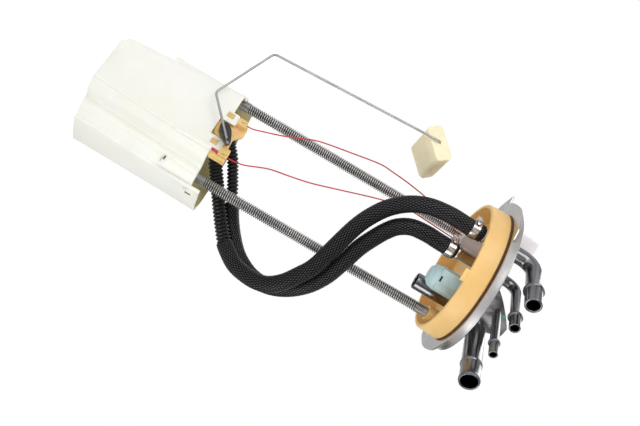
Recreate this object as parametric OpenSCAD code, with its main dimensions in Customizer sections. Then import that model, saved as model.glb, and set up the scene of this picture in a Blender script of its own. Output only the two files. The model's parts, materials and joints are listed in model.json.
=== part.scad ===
// In-tank fuel pump module of the strut-and-spring kind.
// A stamped steel flange with a plastic locating ring carries two steel struts.
// A plastic reservoir with the pump inside slides on the struts against two long springs.
// Two hoses, a pair of sender wires and a swinging float arm complete it.
// Millimetres. Origin: centre of the flange's sealing face. +Z points out of the tank.

/* [Flange] */
// Diameter of the flange over its turned-up lip
flange_d = 116.5; // [115:0.5:120]
// Sheet thickness of the flange
plate_t = 1.5; // [1:0.1:2]
// Height that the outer lip rises above the sealing face
lip_h = 4.6; // [3:0.1:6]
// Height of the raised middle above the sealing face
step_h = 0.6; // [0.4:0.1:1]
// Width over the two anti-rotation tabs
tab_span = 132; // [130:0.5:138]

/* [Locating ring] */
// Outer diameter of the ring that drops into the tank opening
ring_d = 105; // [103:0.5:107]
// Depth of the ring below the sealing face
ring_h = 16; // [13:0.5:18]
// Depth of the strut bosses below the sealing face
boss_h = 14.5; // [12:0.5:17]
// Radius of the strut bosses
boss_r = 5.8; // [5.4:0.1:6.4]
// Width of the standing lug on the ring's rim
lug_w = 9; // [7:0.5:11]
// Height of the standing lug, half of it past the rim
lug_h = 6; // [4:0.5:8]

/* [Struts and springs] */
// Diameter of the two guide rods
rod_d = 5.8; // [5:0.1:6]
// Radial clearance of a rod in its guide bush
rod_gap = 0.05; // [0.02:0.01:0.09]
// Outer diameter of the springs
spring_d = 8.2; // [7.8:0.1:9]
// Wire diameter of the springs
spring_wire = 0.9; // [0.7:0.05:1]
// Distance from coil to coil
coil_pitch = 1.65; // [1.5:0.05:2.4]
// Length of the close-wound stretch at each end of a spring
spring_end = 6; // [4:0.5:8]
// Height at which the springs stand on the guide bushes
spring_foot_z = -211; // [-212:0.5:-209]
// Length of the guide bushes
bush_h = 10; // [8:0.5:11]

/* [Ports] */
// Outer diameter of the large vent port
vent_d = 14; // [12:0.5:14.5]
// Outer diameter of the fuel supply port
supply_d = 12; // [10:0.5:12.5]
// Outer diameter of the fuel return port
return_d = 8; // [7:0.1:8.2]
// Outer diameter of the small vapour port
vapour_d = 6.35; // [5:0.05:6.5]
// Wall thickness of the port tubes
tube_t = 1; // [0.8:0.1:1.2]
// Height of the supply and return ports above the sealing face
port_z = 28; // [26:0.5:30]
// Diameter of the stamped dome
dome_d = 36; // [34:0.5:37]
// Height of the stamped dome above the sealing face
dome_h = 34.3; // [31:0.1:37]

/* [Reservoir] */
// Height of the reservoir from its floor to its back rim
res_h = 98; // [94:1:104]
// Size of the reservoir's foot as a share of its top
res_taper = 0.92; // [0.89:0.005:0.96]
// Thickness of the reservoir's floor and cover
floor_t = 3; // [2.5:0.1:3.2]
// Depth of the front rim below the back rim
front_drop = 7; // [5:0.5:9]

/* [Pump] */
// Diameter of the pump's steel case
pump_d = 37; // [34:0.5:38]
// Room between the pump's outlet cap and the reservoir's cover
pump_room = 8; // [6:0.5:12]

/* [Level sender] */
// Wire diameter of the float arm
arm_d = 1.7; // [1.5:0.1:2]
// Length of the float's long side
float_l = 27; // [24:0.5:28]
// Width of the float
float_w = 12.5; // [11:0.5:14]
// Depth of the float along its wire
float_t = 34; // [30:0.5:36]

/* [Hoses and wires] */
// Outer diameter of the braided hoses
hose_d = 12.4; // [11:0.1:12.6]
// Outer diameter of the first hose's corrugated end
loom_1_d = 10.8; // [9.8:0.1:11.4]
// Outer diameter of the second hose's corrugated end
loom_2_d = 9; // [8.2:0.1:9.6]
// Distance from rib to rib of the corrugated ends
loom_pitch = 2.8; // [2.4:0.1:3.4]
// Diameter of the sender wires
wire_d = 1.1; // [0.9:0.1:1.3]

/* [Hidden] */
$fn = 96;
eps = 0.02;
touch = 0.05;

flange_r = flange_d / 2;
top_z = plate_t + step_h;
ring_r = ring_d / 2;
seat_in_r = ring_r + 0.9;
seat_r = flange_r - 2;
seat_slope = 0.6;
gasket_t = 2;
ring_floor_t = 3;
ring_in_r = ring_r - 3.6;
rod_r = rod_d / 2;
strut_1_at = [39.5, 2];
strut_2_at = [-23.5, 14];
bush_r = 4.8;
clip_t = 2.5;
clip_z = spring_foot_z - bush_h - touch;
rod_end_z = clip_z - clip_t - 2.4;

// The ports run level, all in one direction.
port_turn = -56;
port_dir = [cos(port_turn), sin(port_turn), 0];
supply_run = 47;
return_run = 46.2;
supply_at = [-28.4, -27.6];
return_at = [-9, -19.3];
dome_at = [13.5, -10];
vent_mouth = [62.2, -62.6, 18];
vapour_mouth = [38.8, -64.6, 22];
valve_at = dome_at + [-0.2, -4];
stub_at = dome_at + [9.7, 10.5];
conn_at = [-37, -1];
inner_conn_at = [-19.5, -8];

// The reservoir hangs below the flange.
res_top_z = -199;
res_bot_z = res_top_z - res_h;
front_z = res_top_z - front_drop;
cover_z = spring_foot_z - 3;
boss_low_z = rod_end_z - 40;
res_mid = [22, 2];
pump_at = [8, 4];
cap_h = 8;
outlet_cap_t = 3;
pump_z = res_bot_z + floor_t + 2 + cap_h;
pump_l = cover_z - floor_t - pump_room - outlet_cap_t - pump_z;
stub_a_at = [9, 16];
stub_b_at = [-6, 25];
half_boss_at = [39.6, -32.4];
half_boss_l = 25.5;
half_boss_r = 4.1;

// The level sender stands turned on the reservoir's slanted front.
face_turn = -24;
face_y = -33;
wall_t = 2.2;
back_y = face_y + wall_t + 0.7;
pivot = [17.2, face_y - 1, -204.8];
shaft_r = 2;
arm_y = face_y - 8;
arm_route = [[26.5, arm_y, -197.6], [-1.7, arm_y, -223], [-51, arm_y, -203.8], [-59.6, arm_y, -71.3]];
float_y = arm_y + 2;
float_turn = -42;

// Each hose's first points belong to its corrugated end.
hose_1_end = -15.5;
hose_1_low = [[stub_a_at[0], stub_a_at[1], cover_z + 0.3], [stub_a_at[0], stub_a_at[1], -211], [10.6, 16.6, -208.2],
    [14.5, 18, -206.4], [22.3, 20.5, -204.6], [31, 21.5, -198.9], [44.9, 18.5, -188.7], [54.4, 16.5, -181.7],
    [63.8, 14.5, -174.3], [71, 12.5, -167.9]];
hose_1_high = [[75.8, 9.5, -161.6], [80.1, 6, -154], [81.8, 2, -146.1], [82, -3, -135.6], [79.4, -6.5, -126.3],
    [72.3, -9.5, -117.7], [62.4, -12, -110.8], [50.2, -14.5, -104], [30.4, -17.5, -98.9], [12, -20, -93.8],
    [-0.7, -21.5, -88.1], [-12, -23, -80.3], [-21, -25, -69.6], [-26.5, -26.5, -56.9], [-28.6, -27.5, -42],
    [supply_at[0], supply_at[1], -28], [supply_at[0], supply_at[1], hose_1_end]];
hose_2_end = -24;
hose_2_low = [[stub_b_at[0], stub_b_at[1], cover_z + 0.3], [stub_b_at[0], stub_b_at[1], -211], [-4.6, 25, -208],
    [-0.8, 25.2, -205.2], [6.9, 25.5, -200.9], [13.9, 25.5, -195.2], [24.9, 25.5, -188.7], [34.7, 25.5, -183.2],
    [43.6, 25.5, -179]];
hose_2_high = [[53.4, 25, -173.4], [63.7, 23.5, -165.8], [73.5, 21.5, -156.3], [79, 18, -147.4], [82.1, 14, -138.6],
    [82.6, 9.5, -128.6], [79.7, 5, -118.6], [73.7, 0.5, -108.8], [66, -3.5, -100.9], [58.9, -6, -95.9],
    [49.8, -9, -91.5], [36.7, -12.5, -87.5], [22.8, -15.5, -83.4], [10.9, -18, -77.9], [3.5, -19.5, -73.7],
    [-3.2, -20.5, -68.1], [-7.9, -21.5, -59.5], [-9.3, -20.7, -47.9], [-9.1, -19.8, -39.3],
    [return_at[0], return_at[1], -31], [return_at[0], return_at[1], hose_2_end]];
wire_1_route = [[-9.5, -32.9, -193.5], [-9.6, -32.7, -189.5], [-12.6, -31.5, -180], [-16.6, -28, -169],
    [-20.5, -25, -160], [-26.4, -20.5, -146.2], [-31.6, -15, -121.9], [-35.6, -10, -100.5],
    [-35.6, -7, -89.3], [-34.5, -4, -72.7], [-31.5, -3, -54], [-26, -5, -38], [-22, -8, -28],
    [-22, -8, -23]];
wire_2_route = [[15.8, -44.15, -193.5], [15.9, -43.8, -190], [14.3, -39, -181.5], [8.2, -32, -166.5],
    [4.9, -26, -151], [1.4, -20, -136], [-5, -13, -116], [-14.1, -6, -87.5], [-18.5, -2, -68],
    [-18, -4, -48], [-17, -7.6, -30], [-17, -8, -23]];
wire_r = wire_d / 2;

function unit(v) = v / norm(v);
function blend4(a, b, c, d, t) =
    0.5 * (2 * b + (c - a) * t + (2 * a - 5 * b + 4 * c - d) * t * t + (3 * b - a - 3 * c + d) * t * t * t);
// A smooth line through the points of p, with n steps between two of them.
function smooth_line(p, n) = concat([for (i = [0:len(p) - 2]) for (k = [0:n - 1])
    blend4(p[max(i - 1, 0)], p[i], p[i + 1], p[min(i + 2, len(p) - 1)], k / n)], [p[len(p) - 1]]);
// The distance along p to each of its points, and n even steps along p.
function travel(p) = [for (i = 0, s = 0; i < len(p); s = s + norm(p[min(i + 1, len(p) - 1)] - p[i]), i = i + 1) s];
function evenly(p, n) = let (s = travel(p), all = s[len(p) - 1]) [for (k = [0:n]) [for (c = [0:2])
    lookup(all * k / n, [for (i = [0:len(p) - 1]) [s[i], p[i][c]]])]];
function part_of(p, a, b) = [for (i = [a:b]) p[i]];
function headings(p) = [for (i = [0:len(p) - 1]) unit(p[min(i + 1, len(p) - 1)] - p[max(i - 1, 0)])];
function sides_of(t) = [for (i = 0, n = unit(cross(t[0], [0.31, 0.87, 0.39])); i < len(t);
    i = i + 1, n = i < len(t) ? unit(n - (n * t[i]) * t[i]) : n) n];

// A round bar along p. A list of radii gives one radius to each ring of points.
module bar_along(p, radii, sides, t_ends) {
    last = len(p) - 1;
    t = [for (i = [0:last]) i == 0 ? t_ends[0] : i == last ? t_ends[1] : headings(p)[i]];
    n = sides_of(t);
    points = [for (i = [0:last]) for (k = [0:sides - 1]) let (a = 360 * k / sides)
        p[i] + radii[i] * (cos(a) * n[i] + sin(a) * cross(t[i], n[i]))];
    walls = [for (i = [0:last - 1]) for (k = [0:sides - 1]) let (k2 = (k + 1) % sides, a = i * sides,
        b = (i + 1) * sides) for (f = [[a + k, b + k, b + k2], [a + k, b + k2, a + k2]]) f];
    polyhedron(points, concat(walls, [[for (k = [0:sides - 1]) k]],
        [[for (k = [sides - 1:-1:0]) last * sides + k]]), convexity = 6);
}

// Places children in the sender's turned frame.
module on_face() {
    rotate([0, 0, face_turn]) children();
}

// A cylinder along the sender's Y axis, from y0 to y1.
module y_pin(x, z, r, y0, y1) {
    translate([x, y0, z]) rotate([-90, 0, 0]) cylinder(r = r, h = y1 - y0);
}

// Outlines of the two tabs, measured from each one's tip: a spike and a notch on the first, a round second.
tab_a_spike = [[28.6, 30], [20.1, 36.5], [11, 30.9], [6.8, 24.7], [3.2, 17.9], [0, 11.8]];
tab_a_side = [[6.5, 10.7], [6, 5.3], [7, -6.5], [9.6, -20.4], [12.6, -28.9], [17.1, -36.5], [24.7, -43.5],
    [34.6, -46.5]];
tab_b = [[-23.6, 42.4], [-13.6, 43.5], [-6.5, 39.8], [-2.8, 31.6], [-0.4, 22.5], [0, 10.9], [-1.9, -3.8],
    [-5.2, -13.7], [-10.2, -22.6], [-13.5, -28.1], [-19.6, -34]];
tab_shift = 2.5;
module tabs() {
    translate([-tab_span / 2 - tab_shift, 0, 0]) linear_extrude(height = plate_t)
        polygon(concat(smooth_line(tab_a_spike, 3), smooth_line(tab_a_side, 3), [[tab_span * 0.3, 0]]));
    translate([tab_span / 2 - tab_shift, 0, 0]) linear_extrude(height = plate_t)
        polygon(concat(smooth_line(tab_b, 3), [[-tab_span * 0.3, 0]]));
}

module flange_plate() color([0.72, 0.73, 0.74]) difference() {
    union() {
        rotate_extrude() polygon([[0, 0], [seat_r, 0], [flange_r - 0.4, lip_h], [flange_r, lip_h + plate_t * 0.6],
            [flange_r - 0.5, lip_h + plate_t], [seat_r - 0.5, plate_t], [seat_in_r + 0.4, plate_t],
            [seat_in_r - seat_slope, top_z], [0, top_z]]);
        tabs();
    }
    // The middle is raised a little inside the sealing face.
    rotate_extrude() polygon([[0, -1], [seat_in_r, -1], [seat_in_r, 0], [seat_in_r - seat_slope, step_h], [0, step_h]]);
    translate([supply_at[0], supply_at[1], 0]) cylinder(d = supply_d, h = 4);
    translate([return_at[0], return_at[1], 0]) cylinder(d = return_d, h = 4);
    for (s = [strut_1_at, strut_2_at]) translate([s[0], s[1], 0]) cylinder(r = rod_r, h = 4);
    translate([dome_at[0], dome_at[1], 0]) cylinder(r = 5, h = 4);
}

module flange_gasket() color([0.28, 0.13, 0.07]) rotate_extrude() polygon([[ring_in_r + 0.5, -gasket_t],
    [ring_r + 0.2, -gasket_t], [ring_r + 0.2, step_h], [ring_in_r + 0.5, step_h]]);

module locating_ring() color([0.93, 0.72, 0.36]) difference() {
    union() {
        rotate_extrude() polygon([[0, step_h], [ring_in_r + 0.5, step_h], [ring_in_r + 0.5, -gasket_t],
            [ring_r, -gasket_t], [ring_r - 0.6, 0.8 - ring_h], [ring_r - 1.4, -ring_h], [ring_in_r, -ring_h],
            [ring_in_r, -ring_floor_t], [0, -ring_floor_t]]);
        for (s = [strut_1_at, strut_2_at])
            translate([s[0], s[1], -boss_h]) cylinder(r = boss_r, h = boss_h - 1);
        // Standing lug on the rim.
        rotate([0, 0, -87]) translate([ring_in_r - 0.2, -lug_w / 2, -ring_h - lug_h / 2]) cube([2.4, lug_w, lug_h]);
        // Stiffening ribs inside the wall.
        for (a = [62, 84, 106, 128]) rotate([0, 0, a])
            translate([ring_in_r - 1.6, -0.7, -ring_h + 1]) cube([2.2, 1.4, ring_h - 2]);
    }
    for (s = [strut_1_at, strut_2_at]) translate([s[0], s[1], -boss_h - 1]) cylinder(r = rod_r, h = boss_h + 2);
    for (p = [[supply_at, nipple_r], [return_at, nipple_r], [stub_at, stub_r], [valve_at, valve_neck_r]])
        translate([p[0][0], p[0][1], -boss_h]) cylinder(r = p[1], h = boss_h + 1);
}

module strut(at) color([0.62, 0.63, 0.65]) translate([at[0], at[1], 0]) {
    translate([0, 0, rod_end_z]) cylinder(r = rod_r, h = top_z - rod_end_z + eps);
    rotate_extrude() polygon([[0, top_z], [4.6, top_z], [3.9, top_z + 1.6], [0, top_z + 2]]);
}
module strut_1() strut(strut_1_at);
module strut_2() strut(strut_2_at);

module strut_clip(at) color([0.5, 0.5, 0.52]) translate([at[0], at[1], clip_z - clip_t]) difference() {
    union() {
        cylinder(r = 4.5, h = 0.8);
        cylinder(r = 3.9, h = clip_t);
    }
    translate([0, 0, -1]) cylinder(r = rod_r, h = clip_t + 2);
}
module strut_clip_1() strut_clip(strut_1_at);
module strut_clip_2() strut_clip(strut_2_at);

// A coil spring stood in for by a sleeve with one rounded rib for each coil.
spring_len = -boss_h - touch - (spring_foot_z + touch);
coils = floor((spring_len - 2 * spring_end) / coil_pitch);
module coil_sleeve(at) color([0.66, 0.66, 0.67]) translate([at[0], at[1], spring_foot_z + touch])
    rotate_extrude($fn = 24) polygon(concat([[spring_d / 2 - spring_wire, 0], [spring_d / 2, 0], [spring_d / 2, spring_end]],
        [for (i = [0:coils - 1]) for (q = [[-0.5, 0.5], [0, 1]])
            [spring_d / 2 + q[0], spring_end + (spring_len - 2 * spring_end) * (i + q[1]) / coils]],
        [[spring_d / 2, spring_len], [spring_d / 2 - spring_wire, spring_len]]));
module spring_1() coil_sleeve(strut_1_at);
module spring_2() coil_sleeve(strut_2_at);

vent_len = 64;
vapour_len = 49;
module level_bar(mouth, len, r) {
    translate(mouth - port_dir * len) rotate([0, 0, port_turn]) rotate([0, 90, 0]) cylinder(r = r, h = len);
}

// The dome's outer form, or its hollow when drawn smaller by w: round, with one side sloping down.
dome_tilt = 37.6;
module dome_form(w) intersection() {
    translate([dome_at[0], dome_at[1], 0]) cylinder(d = dome_d - 2 * w, h = dome_h);
    translate([dome_at[0], dome_d, 0]) rotate([90, 0, 0]) linear_extrude(height = 3 * dome_d) polygon([
        [-dome_d, 0], [-dome_d, dome_h - w / cos(dome_tilt) - (dome_d + dome_d * 0.18) * tan(dome_tilt)],
        [dome_d * 0.18 + 0.34 * w, dome_h - w], [dome_d * 0.37 - 0.5 * w, dome_h - w],
        [dome_d * 0.5 - w, dome_h * 0.6], [dome_d * 0.5 - w, 0]]);
}
module stamped_dome() color([0.7, 0.71, 0.72]) difference() {
    union() {
        dome_form(0);
        translate([dome_at[0], dome_at[1], 0]) cylinder(r = dome_d / 2 + 1, h = top_z + 1.2);
    }
    dome_form(1.2);
    translate([0, 0, -1]) cylinder(r = flange_r, h = top_z + 1);
    level_bar(vent_mouth, vent_len, vent_d / 2);
    level_bar(vapour_mouth, vapour_len, vapour_d / 2);
}

// Raised beads around a tube that runs along +X, at distances back from its mouth.
module bead(x, r, w, h) {
    translate([x - w / 2, 0, 0]) rotate([0, 90, 0]) rotate_extrude()
        polygon([[r - 0.4, 0], [r + h * 0.6, 0], [r + h, w * 0.3], [r + h, w * 0.7], [r + h * 0.6, w], [r - 0.4, w]]);
}

module vent_port() color([0.42, 0.43, 0.45]) difference() {
    union() {
        level_bar(vent_mouth, vent_len, vent_d / 2);
        translate(vent_mouth) rotate([0, 0, port_turn]) {
            bead(-17, vent_d / 2, 2.4, 0.9);
            bead(-1.5, vent_d / 2, 2.6, 0.5);
        }
    }
    level_bar(vent_mouth + port_dir, vent_len + 2, vent_d / 2 - tube_t);
}

module vapour_port() color([0.42, 0.43, 0.45]) difference() {
    union() {
        level_bar(vapour_mouth, vapour_len, vapour_d / 2);
        translate(vapour_mouth) rotate([0, 0, port_turn]) bead(-12, vapour_d / 2, 2, 1);
    }
    level_bar(vapour_mouth + port_dir, vapour_len + 2, vapour_d / 2 - tube_t);
}

// Tube that rises from z0 and bends level, to a mouth at distance run.
module elbow_bar(r, z0, bend, run) {
    translate([0, 0, z0]) cylinder(r = r, h = port_z - bend - z0);
    translate([bend, 0, port_z - bend]) rotate([90, 0, 0]) rotate([0, 0, 90])
        rotate_extrude(angle = 90) translate([bend, 0]) circle(r = r);
    translate([bend, 0, port_z]) rotate([0, 90, 0]) cylinder(r = r, h = run - bend);
}

module elbow_port(at, d, bend, run, bead_at) color([0.42, 0.43, 0.45])
    translate([at[0], at[1], 0]) rotate([0, 0, port_turn]) difference() {
        union() {
            elbow_bar(d / 2, step_h, bend, run);
            translate([run, 0, port_z]) bead(-bead_at, d / 2, 2.4, 1.6);
        }
        elbow_bar(d / 2 - tube_t, -1, bend, run + 1);
    }
module supply_port() elbow_port(supply_at, supply_d, 11, supply_run, 16);
module return_port() elbow_port(return_at, return_d, 9, return_run, 12);

conn_l = 22;
conn_w = 15;
conn_h = 26;
module outer_connector() color([0.9, 0.9, 0.92]) translate([conn_at[0], conn_at[1], top_z]) difference() {
    union() {
        translate([-conn_w / 2 - 1, -conn_l / 2 - 1, 0]) cube([conn_w + 2, conn_l + 2, 3]);
        translate([-conn_w / 2, -conn_l / 2, 0]) cube([conn_w, conn_l, conn_h]);
        translate([-conn_w / 2 - 1.6, -3, 9]) cube([2, 6, 14]);
    }
    translate([-conn_w / 2 + 1.6, -conn_l / 2 + 1.6, 12]) cube([conn_w - 3.2, conn_l - 3.2, conn_h]);
}

module connector_pins() color([0.75, 0.62, 0.3]) translate([conn_at[0], conn_at[1], top_z + 12])
    for (x = [-2.6, 2.6]) for (y = [-4.4, 4.4]) translate([x - 0.4, y - 1.4, 0]) cube([0.8, 2.8, 9]);

module inner_connector() color([0.9, 0.87, 0.88]) translate([inner_conn_at[0], inner_conn_at[1], 0]) {
    translate([0, 0, -23]) cylinder(r = 7.6, h = 23 - ring_floor_t);
    translate([0, 0, -8]) cylinder(r = 8.4, h = 8 - ring_floor_t);
    for (a = [0:45:315]) rotate([0, 0, a]) translate([6.9, -1, -21]) cube([1.4, 2, 14]);
}

valve_r = 10;
valve_neck_r = 6;
valve_l = 32;
module rollover_valve() color([0.66, 0.78, 0.8]) translate([valve_at[0], valve_at[1], 0]) difference() {
    union() {
        rotate_extrude() polygon([[0, step_h], [valve_neck_r, step_h], [valve_neck_r, -ring_floor_t],
            [valve_r, -ring_floor_t], [valve_r, -7], [valve_r - 0.5, -8], [valve_r - 0.5, 8 - valve_l],
            [valve_r - 1.6, 3.5 - valve_l], [valve_r - 4.4, 0.8 - valve_l], [0, -valve_l]]);
        translate([-valve_r * 0.76, 0.2 - valve_r, 7 - valve_l]) cube([valve_r * 1.52, 4, valve_l - 14]);
    }
    translate([-2.4, -valve_r - 0.6, -24.4]) cube([4.2, 3, 1.5]);
}

stub_r = 6.35;
stub_l = 34;
module vent_stub() color([0.5, 0.5, 0.48]) translate([stub_at[0], stub_at[1], 0]) difference() {
    translate([0, 0, -stub_l]) cylinder(r = stub_r, h = stub_l + step_h);
    translate([0, 0, -stub_l - 1]) cylinder(r = stub_r - 1, h = stub_l);
}

nipple_r = 4.2;
module nipple(at, end_z) color([0.55, 0.54, 0.53]) translate([at[0], at[1], 0]) difference() {
    union() {
        translate([0, 0, end_z]) cylinder(r = nipple_r, h = step_h - end_z);
        translate([0, 0, end_z + 0.3]) rotate_extrude() polygon([[0, 0], [nipple_r + 0.6, 0], [nipple_r + 1.4, 0.8],
            [nipple_r + 1.4, 2.2], [nipple_r, 3.2], [0, 3.2]]);
    }
    translate([0, 0, end_z - 1]) cylinder(r = nipple_r - 1.2, h = -end_z);
}
module nipple_1() nipple(supply_at, hose_1_end);
module nipple_2() nipple(return_at, hose_2_end);

// Clamp band that stands back from the hose's end, with its screw housing and screw.
band_w = 5.5;
module hose_clamp(at, end_z, back, turn) color([0.66, 0.62, 0.6])
    translate([at[0], at[1], end_z - back - band_w]) rotate([0, 0, turn]) {
        difference() {
            cylinder(d = hose_d + 1.5, h = band_w);
            translate([0, 0, -1]) cylinder(d = hose_d + 0.1, h = band_w + 2);
        }
        translate([hose_d / 2 + 0.6, -3, 0.4]) cube([3, 6, band_w - 0.8]);
        translate([hose_d / 2 + 2.2, 2.9, band_w / 2]) rotate([-90, 0, 0]) cylinder(r = 1.9, h = 2.4);
    }
module clamp_1() hose_clamp(supply_at, hose_1_end, 4, 205);
module clamp_2() hose_clamp(return_at, hose_2_end, 1.6, 195);

// Each hose has a corrugated end at the reservoir, and a braided sleeve from there to its nipple.
module loom(low, high, d) {
    n = len(low);
    p = part_of(smooth_line(concat(low, high), 6), 0, (n - 1) * 6);
    last = travel(p)[len(p) - 1];
    rings = 2 * round(last / loom_pitch);
    bar_along(evenly(p, rings), [for (i = [0:rings]) i % 2 == 0 ? d / 2 : d / 2 - 0.9], 10,
        [[0, 0, 1], unit(high[0] - low[n - 2])]);
}
module braid(low, high) {
    n = len(low);
    whole = smooth_line(concat(low, high), 6);
    p = part_of(whole, (n - 1) * 6, len(whole) - 1);
    rings = round(travel(p)[len(p) - 1] / 5);
    bar_along(evenly(p, rings), [for (i = [0:rings]) hose_d / 2], 12, [unit(high[0] - low[n - 2]), [0, 0, 1]]);
}
module hose_1_corrugated() color([0.12, 0.12, 0.12]) loom(hose_1_low, hose_1_high, loom_1_d);
module hose_1_braided() color([0.1, 0.1, 0.1]) braid(hose_1_low, hose_1_high);
module hose_2_corrugated() color([0.12, 0.12, 0.12]) loom(hose_2_low, hose_2_high, loom_2_d);
module hose_2_braided() color([0.1, 0.1, 0.1]) braid(hose_2_low, hose_2_high);

module lead(route) color([0.8, 0.15, 0.1]) {
    p = smooth_line(route, 5);
    bar_along(p, [for (q = p) wire_r], 8, [[0, 0, 1], [0, 0, 1]]);
}
module wire_1() lead(wire_1_route);
module wire_2() lead(wire_2_route);

// Outlines of the reservoir at its top, from the crease round by the slanted front face.
shell_out = [[17.9, -44.1], [-23.4, -25.7], [-26.6, -23.4], [-28.3, -19.6], [-28.5, 22], [-27, 28.4],
    [-22, 33.6], [-12, 37], [10, 39], [34, 38.6], [47, 34.8], [55.3, 27.8], [60.1, 17.2], [61.5, 6], [60.7, -4.2],
    [47.6, -31.2], [46.6, -32.6], [45.2, -32.2], [44.4, -31.6], [35.4, -36.2], [34, -34.9], [31.6, -34.2],
    [29.2, -36.2], [27.4, -40.4], [24.4, -42.6], [19, -43.6], [18.6, -43.2]];
shell_in = [[17.4, -41.6], [-22.6, -23.7], [-25.2, -21.2], [-26.3, -18], [-26.3, 21], [-24.8, 26.8],
    [-20.4, 31.4], [-11, 34.7], [10, 36.7], [33, 36.3], [45.4, 32.8], [53.2, 26.2], [57.8, 16.2], [59.2, 6],
    [58.4, -3.6], [45.2, -29.6], [35.2, -33.4], [31, -31.8], [26.6, -34.6], [25, -38.6], [22, -40.8]];
// How far the foot's outline moves along X, beside its even taper.
foot_shift = [[-28.5, 3], [17.9, -4.9], [61.5, 1.7]];
function foot_of(q) = res_mid + res_taper * (q - res_mid) + [lookup(q[0], foot_shift), 0];
function at_height(q, z) = let (t = (z - res_bot_z) / res_h) t * q + (1 - t) * foot_of(q);

// The leaning prism on one of the outlines, from height z0 to z1. It can be drawn a little smaller.
// Each end is closed by a fan of faces round its middle point.
module prism(outline, z0, z1, size = 1) {
    n = len(outline);
    m = n + 1;
    rims = [for (z = [z0, z1]) for (q = concat(outline, [res_mid]))
        let (e = res_mid + size * (at_height(q, z) - res_mid)) [e[0], e[1], z]];
    polyhedron(rims, [for (i = [0:n - 1]) let (k = (i + 1) % n)
        for (f = [[i, k, k + m], [i, k + m, i + m], [n, k, i], [n + m, i + m, k + m]]) f], convexity = 6);
}
// The slanting cut along one bottom edge. The hollow keeps clear of it by w.
foot_cut = [-5, -21.5];
foot_cut_h = 10;
module foot_wedge(w) translate([0, 60, 0]) rotate([90, 0, 0]) linear_extrude(height = 120) polygon([
    [foot_cut[0] + w * 2, res_bot_z - 1], [foot_cut[0] + w * 2, res_bot_z], [foot_cut[1], res_bot_z + foot_cut_h + w * 2],
    [foot_cut[1] - 20, res_bot_z + foot_cut_h + 12 + w * 2], [foot_cut[1] - 20, res_bot_z - 1]]);

// Walls, floor, bosses and the low rim, before the latch tabs.
far = 60;
low_rim = [44.6, -14.5];
side_rim = [-18, 26];
module shell_body() difference() {
    union() {
        difference() {
            prism(shell_out, res_bot_z, res_top_z);
            foot_wedge(0);
        }
        // Half-round boss on the front band, and the guide boss of the second strut.
        translate([half_boss_at[0], half_boss_at[1], front_z - half_boss_l]) cylinder(r = half_boss_r, h = half_boss_l);
        translate([strut_2_at[0], strut_2_at[1], boss_low_z]) cylinder(r = bush_r + 1.4, h = front_z - boss_low_z);
    }
    difference() {
        prism(shell_in, res_bot_z + floor_t, res_top_z + 1);
        foot_wedge(1.2);
    }
    translate([strut_2_at[0], strut_2_at[1], boss_low_z + 1.2]) cylinder(r = bush_r, h = far);
    // Low rim along the front and the narrow side.
    for (c = [low_rim, side_rim]) translate([-far, -far, front_z]) cube([far + c[0], far + c[1], front_drop + 1]);
}

// A latch tab on the front rim, from u0 to u1, with round upper corners.
module latch_tab(u0, u1, h) translate([0, face_y + wall_t, 0]) rotate([90, 0, 0]) linear_extrude(height = wall_t) {
    for (u = [u0 + 2, u1 - 2]) translate([u, front_z + h - 2]) circle(r = 2);
    translate([u0 + 2, front_z - 6]) square([u1 - u0 - 4, h + 6]);
    translate([u0, front_z - 6]) square([u1 - u0, h + 4]);
}
tab_1 = [22.2, 33.6];
tab_2 = [0.6, 9];
tab_h = 5.6;
win_1 = [24.6, 28.4];
win_2 = [1.5, 5.3];
win_z = front_z - 3.2;
win_h = 5;
lean = atan2((1 - res_taper) * 46, res_h);
module reservoir_shell() color([0.93, 0.93, 0.87]) difference() {
    union() {
        shell_body();
        on_face() {
            latch_tab(tab_1[0], tab_1[1], tab_h);
            latch_tab(tab_2[0], tab_2[1], tab_h);
            // Narrow rib that runs down beside the crease.
            translate([31, face_y - 0.9, front_z]) rotate([lean, 0, 0]) translate([0, 0, -27]) cube([2.3, 2.4, 27.5]);
        }
    }
    // Open lower end of the half-round boss, and the clip slot in the end of the rib.
    translate([half_boss_at[0], half_boss_at[1] - 1.6, front_z - half_boss_l - 1]) cylinder(r = half_boss_r * 0.56, h = 4);
    translate([45.8, -30, front_z - 4.4]) cube([8, 4, 3]);
    // Windows for the sender's latches, and the recess for its pivot.
    on_face() {
        for (w = [win_1, win_2]) translate([w[0], face_y - 2, win_z]) cube([w[1] - w[0], 6, win_h]);
        translate([tab_2[1], face_y - 2, front_z - 5.8]) cube([tab_1[0] - tab_2[1], 6, 12]);
    }
    // Fuel inlet in the floor.
    translate([pump_at[0], pump_at[1], res_bot_z - 1]) cylinder(r = 7, h = floor_t + 2);
}

module reservoir_cover() color([0.85, 0.85, 0.8]) difference() {
    prism(shell_in, cover_z - floor_t, cover_z - eps, 0.997);
    for (s = [strut_1_at, strut_2_at]) translate([s[0], s[1], cover_z - 2 * floor_t]) cylinder(r = bush_r, h = 3 * floor_t);
    for (s = [stub_a_at, stub_b_at]) translate([s[0], s[1], cover_z - 2 * floor_t]) cylinder(r = 2.5, h = 3 * floor_t);
}

module guide_bush(at) color([0.9, 0.9, 0.86]) translate([at[0], at[1], spring_foot_z - bush_h]) difference() {
    cylinder(r = bush_r, h = bush_h);
    translate([0, 0, -1]) cylinder(r = rod_r + rod_gap, h = bush_h + 2);
}
module guide_bush_1() guide_bush(strut_1_at);
module guide_bush_2() guide_bush(strut_2_at);

module pump_body() color([0.6, 0.61, 0.63]) translate([pump_at[0], pump_at[1], pump_z])
    rotate_extrude() polygon([[0, 0], [pump_d / 2 - 1, 0], [pump_d / 2, 1.2], [pump_d / 2, pump_l - 1.2],
        [pump_d / 2 - 1, pump_l], [0, pump_l]]);

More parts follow.
